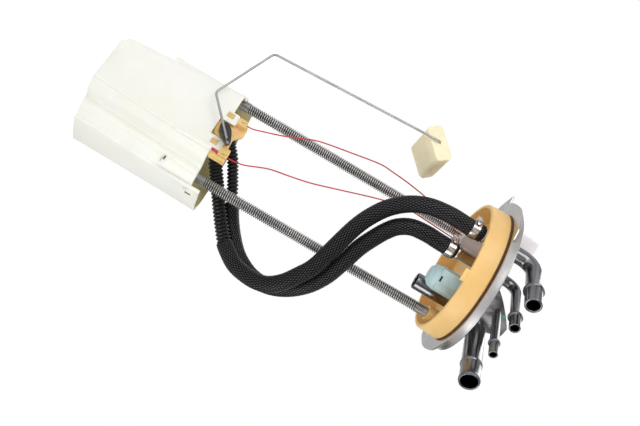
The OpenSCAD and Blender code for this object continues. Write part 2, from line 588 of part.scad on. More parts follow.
module pump_inlet_cap() color([0.12, 0.12, 0.13]) translate([pump_at[0], pump_at[1], pump_z - cap_h]) difference() {
    union() {
        cylinder(r = 6, h = 4);
        translate([0, 0, 3]) cylinder(r = pump_d / 2 - 2, h = cap_h - 3);
    }
    translate([0, 0, -1]) cylinder(r = 4, h = 5);
}

module pump_outlet_cap() color([0.14, 0.14, 0.15])
    translate([pump_at[0], pump_at[1], pump_z + pump_l]) cylinder(r = pump_d / 2 - 2, h = outlet_cap_t);

cap_z = pump_z + pump_l + outlet_cap_t;
module outlet_elbow() color([0.75, 0.75, 0.7]) translate([stub_a_at[0], 0, 0]) {
    translate([0, 8, cap_z]) cylinder(r = 3, h = pump_room - 1);
    translate([0, 8, cap_z + pump_room / 2]) rotate([-90, 0, 0]) cylinder(r = 2.4, h = stub_a_at[1] - 8);
    translate([0, stub_a_at[1], cap_z]) cylinder(r = 3.2, h = pump_room - eps);
}

jet_z = res_bot_z + floor_t;
jet_l = 14;
jet_w = 7;
jet_h = 9;
module jet_pump() color([0.2, 0.2, 0.22]) {
    translate([stub_b_at[0], stub_b_at[1] + 3, jet_z + 4]) cylinder(r = 3, h = cover_z - floor_t - jet_z - 4 - eps);
    translate([stub_b_at[0] - 0.5, stub_b_at[1] - 2, jet_z]) cube([jet_l, jet_w, jet_h]);
}

module inlet_strainer() color([0.75, 0.78, 0.75])
    translate([pump_at[0], pump_at[1], res_bot_z + 0.6]) cylinder(r = 7, h = 1.2);

// The housing's plate lies behind the front wall. Its wing, two terminal blocks and an edge stand above the rim.
wing_z = -196;
term_u = [4.7, 32.4];
term_r = 1.2;
wing = [[2.5, -203], [2.5, -194.4], [4.1, -192.7], [6.2, -192.1], [10.1, -192], [12.4, -192.5], [13.7, -193.6],
    [16.2, -196.6], [18, -197], [27, -196.4], [33, -194],
    [35, -194], [35, -203]];
module sender_housing() color([0.88, 0.62, 0.3]) on_face() difference() {
    union() {
        translate([-1, back_y, front_z - 7]) cube([34, 2.4, 10]);
        translate([0, back_y + 2.4, 0]) rotate([90, 0, 0]) linear_extrude(height = 2.4) polygon(wing);
        for (w = [win_1, win_2]) translate([w[0] + 0.2, face_y - 0.4, win_z + 0.2])
            cube([w[1] - w[0] - 0.4, back_y - face_y + 0.6, win_h - 0.4]);
        intersection() {
            y_pin(pivot[0], pivot[2], 6, face_y - 1, back_y + 0.2);
            translate([tab_2[1] + 0.3, face_y - 2, front_z - 5.6]) cube([tab_1[0] - tab_2[1] - 0.6, 8, 12]);
        }
        translate([2.3, face_y - 2, front_z + tab_h + 0.2]) cube([4.8, back_y - face_y + 2.2, 6.4]);
        translate([27.3, face_y - 2, front_z + tab_h + 0.2]) cube([6.8, back_y - face_y + 2.2, 6.4]);
        translate([tab_1[1] + 0.3, face_y - 0.5, front_z + 0.5]) cube([2.5, back_y - face_y + 2.9, 11.6]);
    }
    y_pin(pivot[0], pivot[2], shaft_r + 0.05, face_y - 4, face_y + 8);
    for (u = term_u) translate([u, face_y - 0.9, wing_z - 2]) cylinder(r = term_r, h = 12);
}

module resistor_card() color([0.85, 0.86, 0.84]) on_face() difference() {
    translate([8, back_y + 2.4, front_z - 6]) cube([20, 0.8, 14]);
    y_pin(pivot[0], pivot[2], 3, face_y, face_y + 9);
}

module terminals() color([0.75, 0.6, 0.3]) on_face() for (u = term_u)
    translate([u, face_y - 0.9, wing_z - 2]) cylinder(r = term_r, h = 4.5 - touch);

rotor_y = arm_y + arm_d / 2 - 0.4;
lever_turn = atan2(arm_route[0][2] - arm_route[1][2], arm_route[0][0] - arm_route[1][0]);
lever = [[-7, -1.1], [-5, -2.3], [-2, -3.5], [1.5, -3.7], [5, -3.1], [8.4, -2], [11, -1.3]];
module rotor() color([0.08, 0.08, 0.08]) on_face() difference() {
    union() {
        y_pin(pivot[0], pivot[2], shaft_r, face_y - 2, back_y + 3.8);
        // Slim lever along the wire, with two hooks over it.
        translate([pivot[0], face_y - 1.2, pivot[2]]) rotate([0, -lever_turn, 0]) {
            rotate([90, 0, 0]) linear_extrude(height = face_y - 1.2 - rotor_y)
                polygon(concat(smooth_line(lever, 3), smooth_line([for (i = [len(lever) - 1:-1:0]) [lever[i][0], -lever[i][1]]], 3)));
            for (x = [-5.2, 7.4]) translate([x, rotor_y - face_y - 0.6, -1.9]) cube([1.8, 2, 3.8]);
        }
    }
    // Groove for the float arm.
    on_arm_line(arm_d / 2);
}
// The arm's first straight piece, as a bar of radius r.
module on_arm_line(r) {
    a = arm_route[0];
    b = arm_route[1];
    translate(a) rotate([0, atan2(b[0] - a[0], b[2] - a[2]), 0]) translate([0, 0, -6]) cylinder(r = r, h = 60);
}

wiper_y = back_y + 3.3;
module wiper() color([0.75, 0.6, 0.35]) on_face() {
    difference() {
        y_pin(pivot[0], pivot[2], 3.4, wiper_y, wiper_y + 0.8);
        y_pin(pivot[0], pivot[2], shaft_r, face_y, face_y + 9);
    }
    for (z = [-1, 0.4]) translate([pivot[0] + 2.6, wiper_y, pivot[2] + z]) cube([6, 0.4, 0.8]);
}

// One straight piece of wire from a to b, both in the arm's plane.
module wire_piece(a, b) {
    d = b - a;
    translate(a) rotate([0, atan2(d[0], d[2]), 0]) cylinder(d = arm_d, h = norm(d), $fn = 32);
}
module float_arm() color([0.6, 0.6, 0.62]) on_face() {
    for (i = [0:2]) wire_piece(arm_route[i], arm_route[i + 1]);
    for (i = [1:3]) translate(arm_route[i]) sphere(d = arm_d + 0.06, $fn = 32);
    translate(arm_route[3]) rotate([-90, 0, 0]) cylinder(d = arm_d, h = float_t * 0.75 + 2, $fn = 32);
}

module float() color([0.93, 0.88, 0.7]) on_face()
    translate([arm_route[3][0], float_y, arm_route[3][2]]) rotate([0, float_turn, 0]) difference() {
        union() {
            for (x = [-1, 1]) for (z = [-1, 1])
                translate([x * (float_l / 2 - 3), 0, z * (float_w / 2 - 3)]) rotate([-90, 0, 0])
                    cylinder(r = 3, h = float_t);
            translate([-float_l / 2 + 3, 0, -float_w / 2]) cube([float_l - 6, float_t, float_w]);
            translate([-float_l / 2, 0, -float_w / 2 + 3]) cube([float_l, float_t, float_w - 6]);
        }
        translate([0, -1, 0]) rotate([-90, 0, 0]) cylinder(d = arm_d + 0.1, h = float_t * 0.8 + 1);
    }

flange_plate();
flange_gasket();
locating_ring();
strut_1();
strut_2();
strut_clip_1();
strut_clip_2();
spring_1();
spring_2();
stamped_dome();
vent_port();
supply_port();
return_port();
vapour_port();
outer_connector();
connector_pins();
inner_connector();
rollover_valve();
vent_stub();
nipple_1();
nipple_2();
clamp_1();
clamp_2();
hose_1_corrugated();
hose_1_braided();
hose_2_corrugated();
hose_2_braided();
wire_1();
wire_2();
reservoir_shell();
reservoir_cover();
guide_bush_1();
guide_bush_2();
pump_body();
pump_inlet_cap();
pump_outlet_cap();
outlet_elbow();
jet_pump();
inlet_strainer();
sender_housing();
resistor_card();
terminals();
rotor();
wiper();
float_arm();
float();
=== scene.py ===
import json
import math
import random

import bmesh
import bpy
from mathutils import Matrix, Vector


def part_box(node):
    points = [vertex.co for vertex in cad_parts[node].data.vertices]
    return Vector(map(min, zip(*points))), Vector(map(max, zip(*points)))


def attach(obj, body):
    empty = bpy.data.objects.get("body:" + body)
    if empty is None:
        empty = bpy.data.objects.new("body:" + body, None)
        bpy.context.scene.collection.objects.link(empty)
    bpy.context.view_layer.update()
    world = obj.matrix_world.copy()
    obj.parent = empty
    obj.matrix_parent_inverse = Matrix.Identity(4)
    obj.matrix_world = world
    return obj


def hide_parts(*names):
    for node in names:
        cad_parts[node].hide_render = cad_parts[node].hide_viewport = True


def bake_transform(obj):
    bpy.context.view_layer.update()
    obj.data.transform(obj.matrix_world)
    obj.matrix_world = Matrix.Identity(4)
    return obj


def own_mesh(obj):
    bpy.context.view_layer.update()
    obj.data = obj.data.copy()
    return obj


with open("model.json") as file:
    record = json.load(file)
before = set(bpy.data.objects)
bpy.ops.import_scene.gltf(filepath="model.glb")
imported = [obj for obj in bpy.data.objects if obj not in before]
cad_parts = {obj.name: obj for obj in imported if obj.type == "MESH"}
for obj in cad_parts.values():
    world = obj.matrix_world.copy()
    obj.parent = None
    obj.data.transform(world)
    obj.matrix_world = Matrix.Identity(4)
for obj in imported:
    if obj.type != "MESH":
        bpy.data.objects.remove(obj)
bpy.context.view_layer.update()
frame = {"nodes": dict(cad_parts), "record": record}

# The camera looks at the module from its sender side, rolled so that the flange sits at the lower right.
# A level pale floor under the reservoir's foot keeps a faint shadow. The room's light is nearly even, bare
# metal mirrors bright and dark bands round it, and four soft lamps give the pieces their form.
view_from = Vector((0.01622, -0.57858, -0.15349))
view_along = Vector((0, 0.99824, 0.05931))
view_up = Vector((-0.86164, 0.03010, -0.50663))
lens = bpy.data.cameras.new("camera")
lens.lens = 45
lens.sensor_width = 36
camera = bpy.data.objects.new("camera", lens)
camera.matrix_world = Matrix((view_along.cross(view_up), view_up, -view_along)).transposed().to_4x4()
camera.location = view_from
bpy.context.scene.collection.objects.link(camera)
bpy.context.scene.camera = camera
bpy.context.scene.view_settings.view_transform = "Standard"


def level(nodes, links, source, low, high, near, far):
    """A brightness that goes from near to far as the source goes from low to high."""
    ramp = nodes.new("ShaderNodeMapRange")
    ramp.inputs["From Min"].default_value = low
    ramp.inputs["From Max"].default_value = high
    ramp.inputs["To Min"].default_value = near
    ramp.inputs["To Max"].default_value = far
    links.new(source, ramp.inputs["Value"])
    return ramp.outputs[0]


def share_along(nodes, links, source, way):
    """How far a direction points along the given way."""
    dot = nodes.new("ShaderNodeVectorMath")
    dot.operation = "DOT_PRODUCT"
    dot.inputs[1].default_value = way
    links.new(source, dot.inputs[0])
    return dot.outputs["Value"]


def ray_switches(nodes, links, in_mirrors=1.0):
    """Two switches: on for the camera's rays, and on for those and for what mirrors and glass show."""
    rays = nodes.new("ShaderNodeLightPath")
    total = rays.outputs["Is Camera Ray"]
    for kind, share in (("Is Glossy Ray", in_mirrors), ("Is Transmission Ray", 1.0)):
        part = level(nodes, links, rays.outputs[kind], 0, 1, 0, share)
        most = nodes.new("ShaderNodeMath")
        most.operation = "MAXIMUM"
        links.new(total, most.inputs[0])
        links.new(part, most.inputs[1])
        total = most.outputs[0]
    return rays.outputs["Is Camera Ray"], total


room = bpy.data.worlds.new("studio")
bpy.context.scene.world = room
room.use_nodes = True
nodes, links = room.node_tree.nodes, room.node_tree.links
direction = nodes.new("ShaderNodeTexCoord").outputs["Generated"]
from_camera, from_shiny = ray_switches(nodes, links)
room_light = nodes["Background"]
mirrored, seen = nodes.new("ShaderNodeBackground"), nodes.new("ShaderNodeBackground")
for light in (room_light, mirrored, seen):
    light.inputs["Color"].default_value = (1, 1, 1, 1)
bright_side = share_along(nodes, links, direction, (-1, 0, 0))
far_right = share_along(nodes, links, direction, (-0.35, 0.5, 0.79))
links.new(level(nodes, links, bright_side, -1, 1, 0.56, 0.62), room_light.inputs["Strength"])
bands = nodes.new("ShaderNodeValToRGB")
first, last = bands.color_ramp.elements
first.color, last.color = (0.05, 0.05, 0.05, 1), (0.8, 0.8, 0.8, 1)
for position, tone in ((0.06, 0.9), (0.13, 0.9), (0.22, 0.10), (0.40, 0.14), (0.49, 0.24), (0.57, 0.80),
                       (0.66, 1.0), (0.80, 1.0), (0.88, 0.35)):
    bands.color_ramp.elements.new(position).color = (tone, tone, tone, 1)
links.new(level(nodes, links, far_right, -0.5, 1.0, 0, 1), bands.inputs[0])
links.new(bands.outputs["Color"], mirrored.inputs["Strength"])
shiny_or_not, camera_or_not = nodes.new("ShaderNodeMixShader"), nodes.new("ShaderNodeMixShader")
for mix, switch, off, on in ((shiny_or_not, from_shiny, room_light, mirrored),
                             (camera_or_not, from_camera, shiny_or_not, seen)):
    links.new(switch, mix.inputs[0])
    links.new(off.outputs[0], mix.inputs[1])
    links.new(on.outputs[0], mix.inputs[2])
links.new(camera_or_not.outputs[0], nodes["World Output"].inputs["Surface"])


lamps_face = Vector((0.01, 0, -0.14))


def lamp(name, place, size, power):
    """A soft square lamp that faces the middle of the module."""
    light = bpy.data.lights.new(name, "AREA")
    light.size = size
    light.energy = power
    holder = bpy.data.objects.new(name, light)
    holder.location = place
    holder.rotation_euler = (lamps_face - Vector(place)).to_track_quat("-Z", "Y").to_euler()
    bpy.context.scene.collection.objects.link(holder)


lamp("key_lamp", (-0.65, -0.82, 0.10), 0.55, 3.3)
lamp("fill_lamp", (0.85, -0.50, 0.00), 0.5, 2.9)
lamp("low_lamp", (-0.25, -0.80, -0.24), 0.4, 0.8)
lamp("rim_lamp", (-0.30, 0.55, 0.45), 0.5, 2.0)

floor_z = -0.2972
bpy.ops.mesh.primitive_plane_add(size=6, location=(0, 0, floor_z))
floor = bpy.context.object
floor.name = "floor"
bpy.ops.object.transform_apply(location=True)
pale = bpy.data.materials.new("pale_floor")
pale.use_nodes = True
nodes, links = pale.node_tree.nodes, pale.node_tree.links
matt = nodes["Principled BSDF"]
matt.inputs["Base Color"].default_value = (0.86, 0.86, 0.86, 1)
matt.inputs["Roughness"].default_value = 0.9
lift = nodes.new("ShaderNodeEmission")
lift_share = ray_switches(nodes, links, 0.2)[1]
links.new(level(nodes, links, lift_share, 0, 1, 0, 0.55), lift.inputs["Strength"])
both = nodes.new("ShaderNodeAddShader")
links.new(matt.outputs[0], both.inputs[0])
links.new(lift.outputs[0], both.inputs[1])
links.new(both.outputs[0], nodes["Material Output"].inputs["Surface"])
floor.data.materials.append(pale)


# Flange plate, pressed from zinc-plated sheet: a raised middle, a flat sealing face, a turned-up lip
# that stiffens it, and two tabs that lock it in the tank's collar. The sealing face rests on the tank.
def paint(red, green, blue):
    """A colour given as it looks on paper, 0 to 255, as the shader's linear values."""
    shares = (tone / 255 for tone in (red, green, blue))
    return [*(((share + 0.055) / 1.055) ** 2.4 if share > 0.04 else share / 12.92 for share in shares), 1]


def toned(nodes, links, source, low, high, dark, light):
    """A colour that goes from dark to light as the source goes from low to high."""
    ramp = nodes.new("ShaderNodeValToRGB")
    for stop, position, tone in zip(ramp.color_ramp.elements, (low, high), (dark, light)):
        stop.position = position
        stop.color = tone
    links.new(source, ramp.inputs[0])
    return ramp.outputs[0]


def finish(name, light, dark, rough, metal=0.0, patch=60, grain=900, bump=0.00002):
    """A finish whose colour drifts between two tones, with uneven gloss and a fine grain in its surface.
    patch and grain say how close the drift and the grain are, and bump how deep the grain is."""
    made = bpy.data.materials.new(name)
    made.use_nodes = True
    nodes, links = made.node_tree.nodes, made.node_tree.links
    shader = nodes["Principled BSDF"]
    shader.inputs["Metallic"].default_value = metal
    place = nodes.new("ShaderNodeTexCoord").outputs["Object"]
    drift = nodes.new("ShaderNodeTexNoise")
    drift.inputs["Scale"].default_value = patch
    drift.inputs["Detail"].default_value = 5
    links.new(place, drift.inputs["Vector"])
    links.new(toned(nodes, links, drift.outputs[0], 0.32, 0.68, dark, light), shader.inputs["Base Color"])
    links.new(level(nodes, links, drift.outputs[0], 0.3, 0.7, *rough), shader.inputs["Roughness"])
    fine = nodes.new("ShaderNodeTexNoise")
    fine.inputs["Scale"].default_value = grain
    fine.inputs["Detail"].default_value = 3
    links.new(place, fine.inputs["Vector"])
    relief = nodes.new("ShaderNodeBump")
    relief.inputs["Strength"].default_value = 0.5
    relief.inputs["Distance"].default_value = bump
    links.new(fine.outputs[0], relief.inputs["Height"])
    links.new(relief.outputs[0], shader.inputs["Normal"])
    return made


def pick(*pieces):
    """Leaves only these pieces selected, the first of them active."""
    bpy.ops.object.select_all(action="DESELECT")
    for piece in pieces:
        piece.select_set(True)
    bpy.context.view_layer.objects.active = pieces[0]


def placed(name, mesh):
    """The mesh as an object of the scene, alone selected."""
    piece = bpy.data.objects.new(name, mesh)
    bpy.context.scene.collection.objects.link(piece)
    pick(piece)
    return piece


def sealed(piece):
    """Merges what touches, closes what is open and turns all faces outwards."""
    pick(piece)
    bpy.ops.object.mode_set(mode="EDIT")
    bpy.ops.mesh.select_all(action="SELECT")
    bpy.ops.mesh.remove_doubles(threshold=0.000002)
    bpy.ops.mesh.fill_holes(sides=0)
    bpy.ops.mesh.normals_make_consistent(inside=False)
    bpy.ops.object.mode_set(mode="OBJECT")
    return piece


def rounded_edges(piece, width, angle=30, segments=3):
    """Rounds every edge that is sharper than the angle."""
    pick(piece)
    rounding = piece.modifiers.new("rounding", "BEVEL")
    rounding.width = width
    rounding.segments = segments
    rounding.limit_method = "ANGLE"
    rounding.angle_limit = math.radians(angle)
    bpy.ops.object.modifier_apply(modifier=rounding.name)
    return piece


def fitted(piece, coat, slot, body, *nodes, angle=30):
    """Gives a piece its finish, sets it on its body, if it has one, and shows it in place of the solids."""
    pick(piece)
    bpy.ops.object.shade_smooth_by_angle(angle=math.radians(angle))
    piece.data.materials.clear()
    piece.data.materials.append(coat)
    if body:
        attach(piece, body)
    if nodes:
        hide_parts(*nodes)
    return piece


def rounded(points, cut, steps=4):
    """The line through the points with each inner corner cut back and rounded."""
    points = [Vector(p) for p in points]
    line = [points[0]]
    for a, b, c in zip(points, points[1:], points[2:]):
        reach = min(cut, (a - b).length * 0.48, (c - b).length * 0.48)
        start, end = b + (a - b).normalized() * reach, b + (c - b).normalized() * reach
        for k in range(steps + 1):
            t = k / steps
            line.append(start.lerp(b, t).lerp(b.lerp(end, t), t))
    return [*line, points[-1]]


def turned(name, outline, cut=0.0, steps=128):
    """A solid turned about the Z axis from an outline of radii and heights, its corners rounded."""
    if cut:
        outline = rounded(outline, cut)
    mesh = bpy.data.meshes.new(name)
    mesh.from_pydata([(r, 0, z) for r, z in outline], [(i, i + 1) for i in range(len(outline) - 1)], [])
    piece = placed(name, mesh)
    turn = piece.modifiers.new("turn", "SCREW")
    turn.steps = turn.render_steps = steps
    turn.use_merge_vertices = True
    turn.merge_threshold = 0.000001
    bpy.ops.object.modifier_apply(modifier=turn.name)
    return sealed(piece)


def plate(name, outline, low, high):
    """A flat plate with this outline, pulled up from the height low to high."""
    mesh = bpy.data.meshes.new(name)
    mesh.from_pydata([(x, y, low) for x, y in outline], [], [list(range(len(outline)))])
    piece = placed(name, mesh)
    bpy.ops.object.mode_set(mode="EDIT")
    bpy.ops.mesh.select_all(action="SELECT")
    bpy.ops.mesh.extrude_region_move(TRANSFORM_OT_translate={"value": (0, 0, high - low)})
    bpy.ops.object.mode_set(mode="OBJECT")
    return sealed(piece)


def shaped(piece, others, operation="UNION"):
    """Joins other solids to a piece, or cuts them out of it, and removes them."""
    pick(piece)
    for other in others:
        step = piece.modifiers.new("shape", "BOOLEAN")
        step.operation = operation
        step.object = other
        step.solver = "EXACT"
        bpy.ops.object.modifier_apply(modifier=step.name)
        bpy.data.objects.remove(other)
    return piece


def smooth_line(points, steps):
    """A smooth line through the points, with the same rounding as the solids' own routes."""
    found = []
    for i in range(len(points) - 1):
        a, b, c, d = (Vector(points[min(max(k, 0), len(points) - 1)]) for k in (i - 1, i, i + 1, i + 2))
        for k in range(steps):
            t = k / steps
            bend, curl = 2 * a - 5 * b + 4 * c - d, 3 * b - a - 3 * c + d
            found.append(0.5 * (2 * b + (c - a) * t + bend * t * t + curl * t ** 3))
    return [*found, Vector(points[-1])]


sheet_t, step_h, hair = 0.0015, 0.0006, 0.00002
top_z = sheet_t + step_h
middle_r, seat_r, lip_r = 0.0528, 0.0563, 0.0583
zinc = finish(
    "zinc_plate", paint(192, 190, 189), paint(174, 172, 171), (0.22, 0.30), 1.0, 40, 400, 0.000004)
flange = turned("pressed_flange", [
    (0, step_h), (middle_r, step_h), (middle_r + 0.0006, 0), (seat_r, 0), (lip_r - 0.0004, 0.0046),
    (lip_r, 0.0055), (lip_r - 0.0005, 0.0061), (lip_r - 0.0012, 0.0057), (seat_r - 0.0006, sheet_t),
    (middle_r + 0.001, sheet_t), (middle_r - 0.0002, top_z), (0, top_z)], 0.0006, 180)
# The tabs' outlines are in millimetres, from their furthest point inwards. The tabs are a hair thinner
# than the sheet, so that no two faces lie in one plane.
near_reach, far_reach, tab_root = 0.0685, 0.0635, 0.0264
near_tab = [(28.6, 30), (20.1, 36.5), (11, 30.9), (6.8, 24.7), (3.2, 17.9), (0, 11.8), (6.5, 10.7),
            (6, 5.3), (7, -6.5), (9.6, -20.4), (12.6, -28.9), (17.1, -36.5), (24.7, -43.5), (34.6, -46.5)]
far_tab = [(-23.6, 42.4), (-13.6, 43.5), (-6.5, 39.8), (-2.8, 31.6), (-0.4, 22.5), (0, 10.9), (-1.9, -3.8),
           (-5.2, -13.7), (-10.2, -22.6), (-13.5, -28.1), (-19.6, -34)]
tabs = []
for side, reach, spots in ((-1, near_reach, [near_tab[:6], near_tab[6:]]), (1, far_reach, [far_tab])):
    edge = [p for stretch in spots for p in smooth_line([(x / 1000, y / 1000, 0) for x, y in stretch], 4)]
    outline = [(side * reach + p.x, p.y) for p in edge] + [(side * tab_root, 0)]
    tabs.append(rounded_edges(plate("tab", outline, hair, sheet_t - hair), 0.0003, 40, 2))
shaped(flange, tabs)
fitted(flange, zinc, "flange_steel", "head", "flange_plate")

# Flange seal, a flat ring cut from brown nitrile rubber.
# It is squeezed between the flange and the locating ring, and shows as a dark line between the two.
seal_rubber = finish("seal_rubber", paint(112, 66, 34), paint(84, 46, 24), (0.55, 0.7))
seal_low, seal_in_r, seal_r = -0.0011, 0.0494, 0.0523
seal = turned("flange_seal", [
    (seal_in_r, step_h), (seal_in_r, seal_low), (seal_r, seal_low), (seal_r, step_h),
    (seal_in_r, step_h)], 0.0002)
fitted(seal, seal_rubber, "nitrile", "head", "flange_gasket")


# Locating ring, moulded in yellow acetal with a thin wall, four ribs, a lug and two deep strut bosses.
# It drops into the tank opening, and the springs under its bosses press it up against the flange.
def glowing(made, depth, tint):
    """Lets light wander a little way into a pale plastic."""
    shader = made.node_tree.nodes["Principled BSDF"]
    shader.inputs["Subsurface Weight"].default_value = 0.5
    shader.inputs["Subsurface Scale"].default_value = depth
    shader.inputs["Subsurface Radius"].default_value = tint


def block(name, middle, size):
    """A block of this size about its middle."""
    bpy.ops.object.select_all(action="DESELECT")
    bpy.ops.mesh.primitive_cube_add(size=1, location=middle)
    piece = bpy.context.object
    piece.name = name
    bpy.ops.transform.resize(value=size)
    bpy.ops.object.transform_apply(location=True, rotation=True, scale=True)
    return piece


def rod(name, foot, radius, height, sides=48):
    """An upright round bar that stands on the point foot."""
    bpy.ops.object.select_all(action="DESELECT")
    middle = Vector(foot) + Vector((0, 0, height / 2))
    bpy.ops.mesh.primitive_cylinder_add(vertices=sides, radius=radius, depth=height, location=middle)
    piece = bpy.context.object
    piece.name = name
    bpy.ops.object.transform_apply(location=True)
    return piece


def swung(piece, angle, axis="Z"):
    """Turns a piece about the origin's axis, in its mesh."""
    piece.data.transform(Matrix.Rotation(angle, 4, axis))
    return piece


acetal = finish("yellow_acetal", paint(244, 205, 136), paint(236, 193, 119), (0.36, 0.5), 0.0, 50, 1200)
glowing(acetal, 0.002, (1, 0.8, 0.4))
ring_r, ring_in_r, ring_h, ring_floor = 0.0525, 0.0489, 0.016, -0.003
boss_r, boss_h, boss_low = 0.0058, 0.0125, -0.0145
strut_spots = {"strut_1": (0.0395, 0.002), "strut_2": (-0.0235, 0.014)}
ring = turned("moulded_ring", [
    (0, step_h), (seal_in_r, step_h), (seal_in_r, seal_low), (ring_r, seal_low),
    (ring_r - 0.0006, 0.0008 - ring_h), (ring_r - 0.0014, -ring_h), (ring_in_r, -ring_h),
    (ring_in_r, ring_floor), (0, ring_floor)], 0.0005, 180)
extras = [rod("boss", (x, y, boss_low), boss_r, boss_h) for x, y in strut_spots.values()]
lug = block("lug", (ring_in_r + 0.001, 0, -ring_h), (0.0024, 0.009, 0.006))
extras.append(swung(lug, math.radians(-87)))
for turn in (62, 84, 106, 128):
    rib = block("rib", (ring_in_r - 0.0005, 0, -ring_h / 2), (0.0022, 0.0014, 0.014))
    extras.append(swung(rib, math.radians(turn)))
for extra in extras:
    rounded_edges(extra, 0.0004, 40, 2)
shaped(ring, extras)
fitted(ring, acetal, "ring_plastic", "head", "locating_ring")


# Vapour dome, deep drawn from the same plated sheet, with one side sloping and soft round shoulders.
# It is brazed down on the flange by a small turned-out foot. A dab of green paint marks it as tested.
def moved(piece, x, y, z=0.0):
    """Moves a piece in its mesh."""
    piece.data.transform(Matrix.Translation((x, y, z)))
    return piece


def bevelled(piece, chosen, offset, segments):
    """Rounds the edges that the test chosen picks out."""
    pick(piece)
    bpy.ops.object.mode_set(mode="EDIT")
    bpy.ops.mesh.select_all(action="DESELECT")
    bpy.ops.mesh.select_mode(type="EDGE")
    form = bmesh.from_edit_mesh(piece.data)
    for edge in form.edges:
        edge.select = chosen(edge)
    bmesh.update_edit_mesh(piece.data)
    bpy.ops.mesh.bevel(offset=offset, segments=segments, affect="EDGES", clamp_overlap=True)
    bpy.ops.object.mode_set(mode="OBJECT")
    return piece


def shoulder(edge):
    """Whether an edge is sharp and lies above the dome's foot."""
    sharp = len(edge.link_faces) == 2 and edge.calc_face_angle() > math.radians(15)
    return sharp and min(corner.co.z for corner in edge.verts) > 0.008


dome_x, dome_y, dome_r, dome_low, dome_top = 0.0135, -0.0100, 0.018, 0.0008, 0.0343
dome = rod("drawn_dome", (dome_x, dome_y, dome_low), dome_r, dome_top - dome_low, 96)
pick(dome)
bpy.ops.object.mode_set(mode="EDIT")
for spot, lean in ((0.00648, (-0.610, 0, 0.792)), (0.01330, (0.946, 0, 0.325))):
    bpy.ops.mesh.select_all(action="SELECT")
    bpy.ops.mesh.bisect(
        plane_co=(dome_x + spot, dome_y, dome_top), plane_no=lean, clear_outer=True, use_fill=True)
bpy.ops.object.mode_set(mode="OBJECT")
bevelled(dome, shoulder, 0.0034, 6)
foot_in_r, foot_r, foot_low, foot_high = dome_r - 0.001, dome_r + 0.001, 0.0012, 0.0052
foot = turned("foot", [
    (foot_in_r, foot_low), (foot_r, foot_low), (foot_r, 0.0030), (dome_r + 0.0004, 0.0034),
    (dome_r + 0.00005, foot_high), (foot_in_r, foot_high), (foot_in_r, foot_low)])
moved(foot, dome_x, dome_y)
pick(dome, foot)
bpy.ops.object.join()
fitted(dome, zinc, "flange_steel", "head", "stamped_dome", angle=40)

green_paint = finish("green_paint", paint(126, 196, 168), paint(104, 180, 150), (0.4, 0.55), 0.0, 900)
random.seed(3)
bpy.ops.object.select_all(action="DESELECT")
bpy.ops.mesh.primitive_uv_sphere_add(segments=24, ring_count=12, radius=1)
dab = bpy.context.object
dab.name = "paint_dab"
for vertex in dab.data.vertices:
    lobes = 0.16 * math.sin(3 * math.atan2(vertex.co.x, vertex.co.z) + 1)
    vertex.co *= 1 + lobes + random.uniform(-0.04, 0.04)
bpy.ops.transform.resize(value=(0.0026, 0.00015, 0.0015))
bpy.ops.object.transform_apply(scale=True)
swung(dab, math.radians(58), "Y")
dab_x, dab_front, dab_z = 0.0136, dome_y - dome_r, 0.0268
moved(dab, dab_x, dab_front, dab_z)
for vertex in dab.data.vertices:
    spot, facing = dome.closest_point_on_mesh(vertex.co)[1:3]
    vertex.co = spot + facing * (dab_front - vertex.co.y)
fitted(dab, green_paint, "flange_steel", "head", angle=180)


# Port tubes of dark plated steel: a wide vent and a thin vapour tube out of the dome, and the fuel supply
# and return tubes bent level out of the flange. Each has a rolled bead that stops the hose or the
# quick connector, and a mouth with a rounded rim.
def piped(name, way, across, profile):
    """A hollow tube. way gives its middle and heading at a length, profile its radius at each length."""
    sides = 48
    shape = bmesh.new()
    across = Vector(across)
    rings = []
    for run, radius in profile:
        middle, heading = way(run)
        side = heading.cross(across)
        rings.append([shape.verts.new(middle + radius * (math.cos(a) * across + math.sin(a) * side))
                      for a in (2 * math.pi * k / sides for k in range(sides))])
    for low, high in zip(rings, rings[1:]):
        for k in range(sides):
            shape.faces.new((low[k], low[(k + 1) % sides], high[(k + 1) % sides], high[k]))
    shape.faces.new(rings[0][::-1])
    shape.faces.new(rings[-1])
    mesh = bpy.data.meshes.new(name)
    shape.to_mesh(mesh)
    shape.free()
    return sealed(placed(name, mesh))


def bead(middle, radius, width, height):
    """Lengths and radii over one rolled bead."""
    half = width / 2
    swell = ((1.35, 0), (1.0, 0.18), (0.75, 0.62), (0.4, 0.93))
    rising = [(middle - share * half, radius + rise * height) for share, rise in swell]
    falling = [(middle + share * half, radius + rise * height) for share, rise in reversed(swell)]
    return [*rising, (middle, radius + height), *falling]


def mouth(end, radius, rim, depth):
    """Lengths and radii over the tube's end, round its rolled rim and back down the bore."""
    bore = radius - rim
    turn = [(end - rim / 2 * (1 - math.sin(a)), radius - rim / 2 * (1 - math.cos(a)))
            for a in (math.pi * k / 10 for k in range(10))]
    return [*turn, (end - rim, bore), (end - depth, bore)]


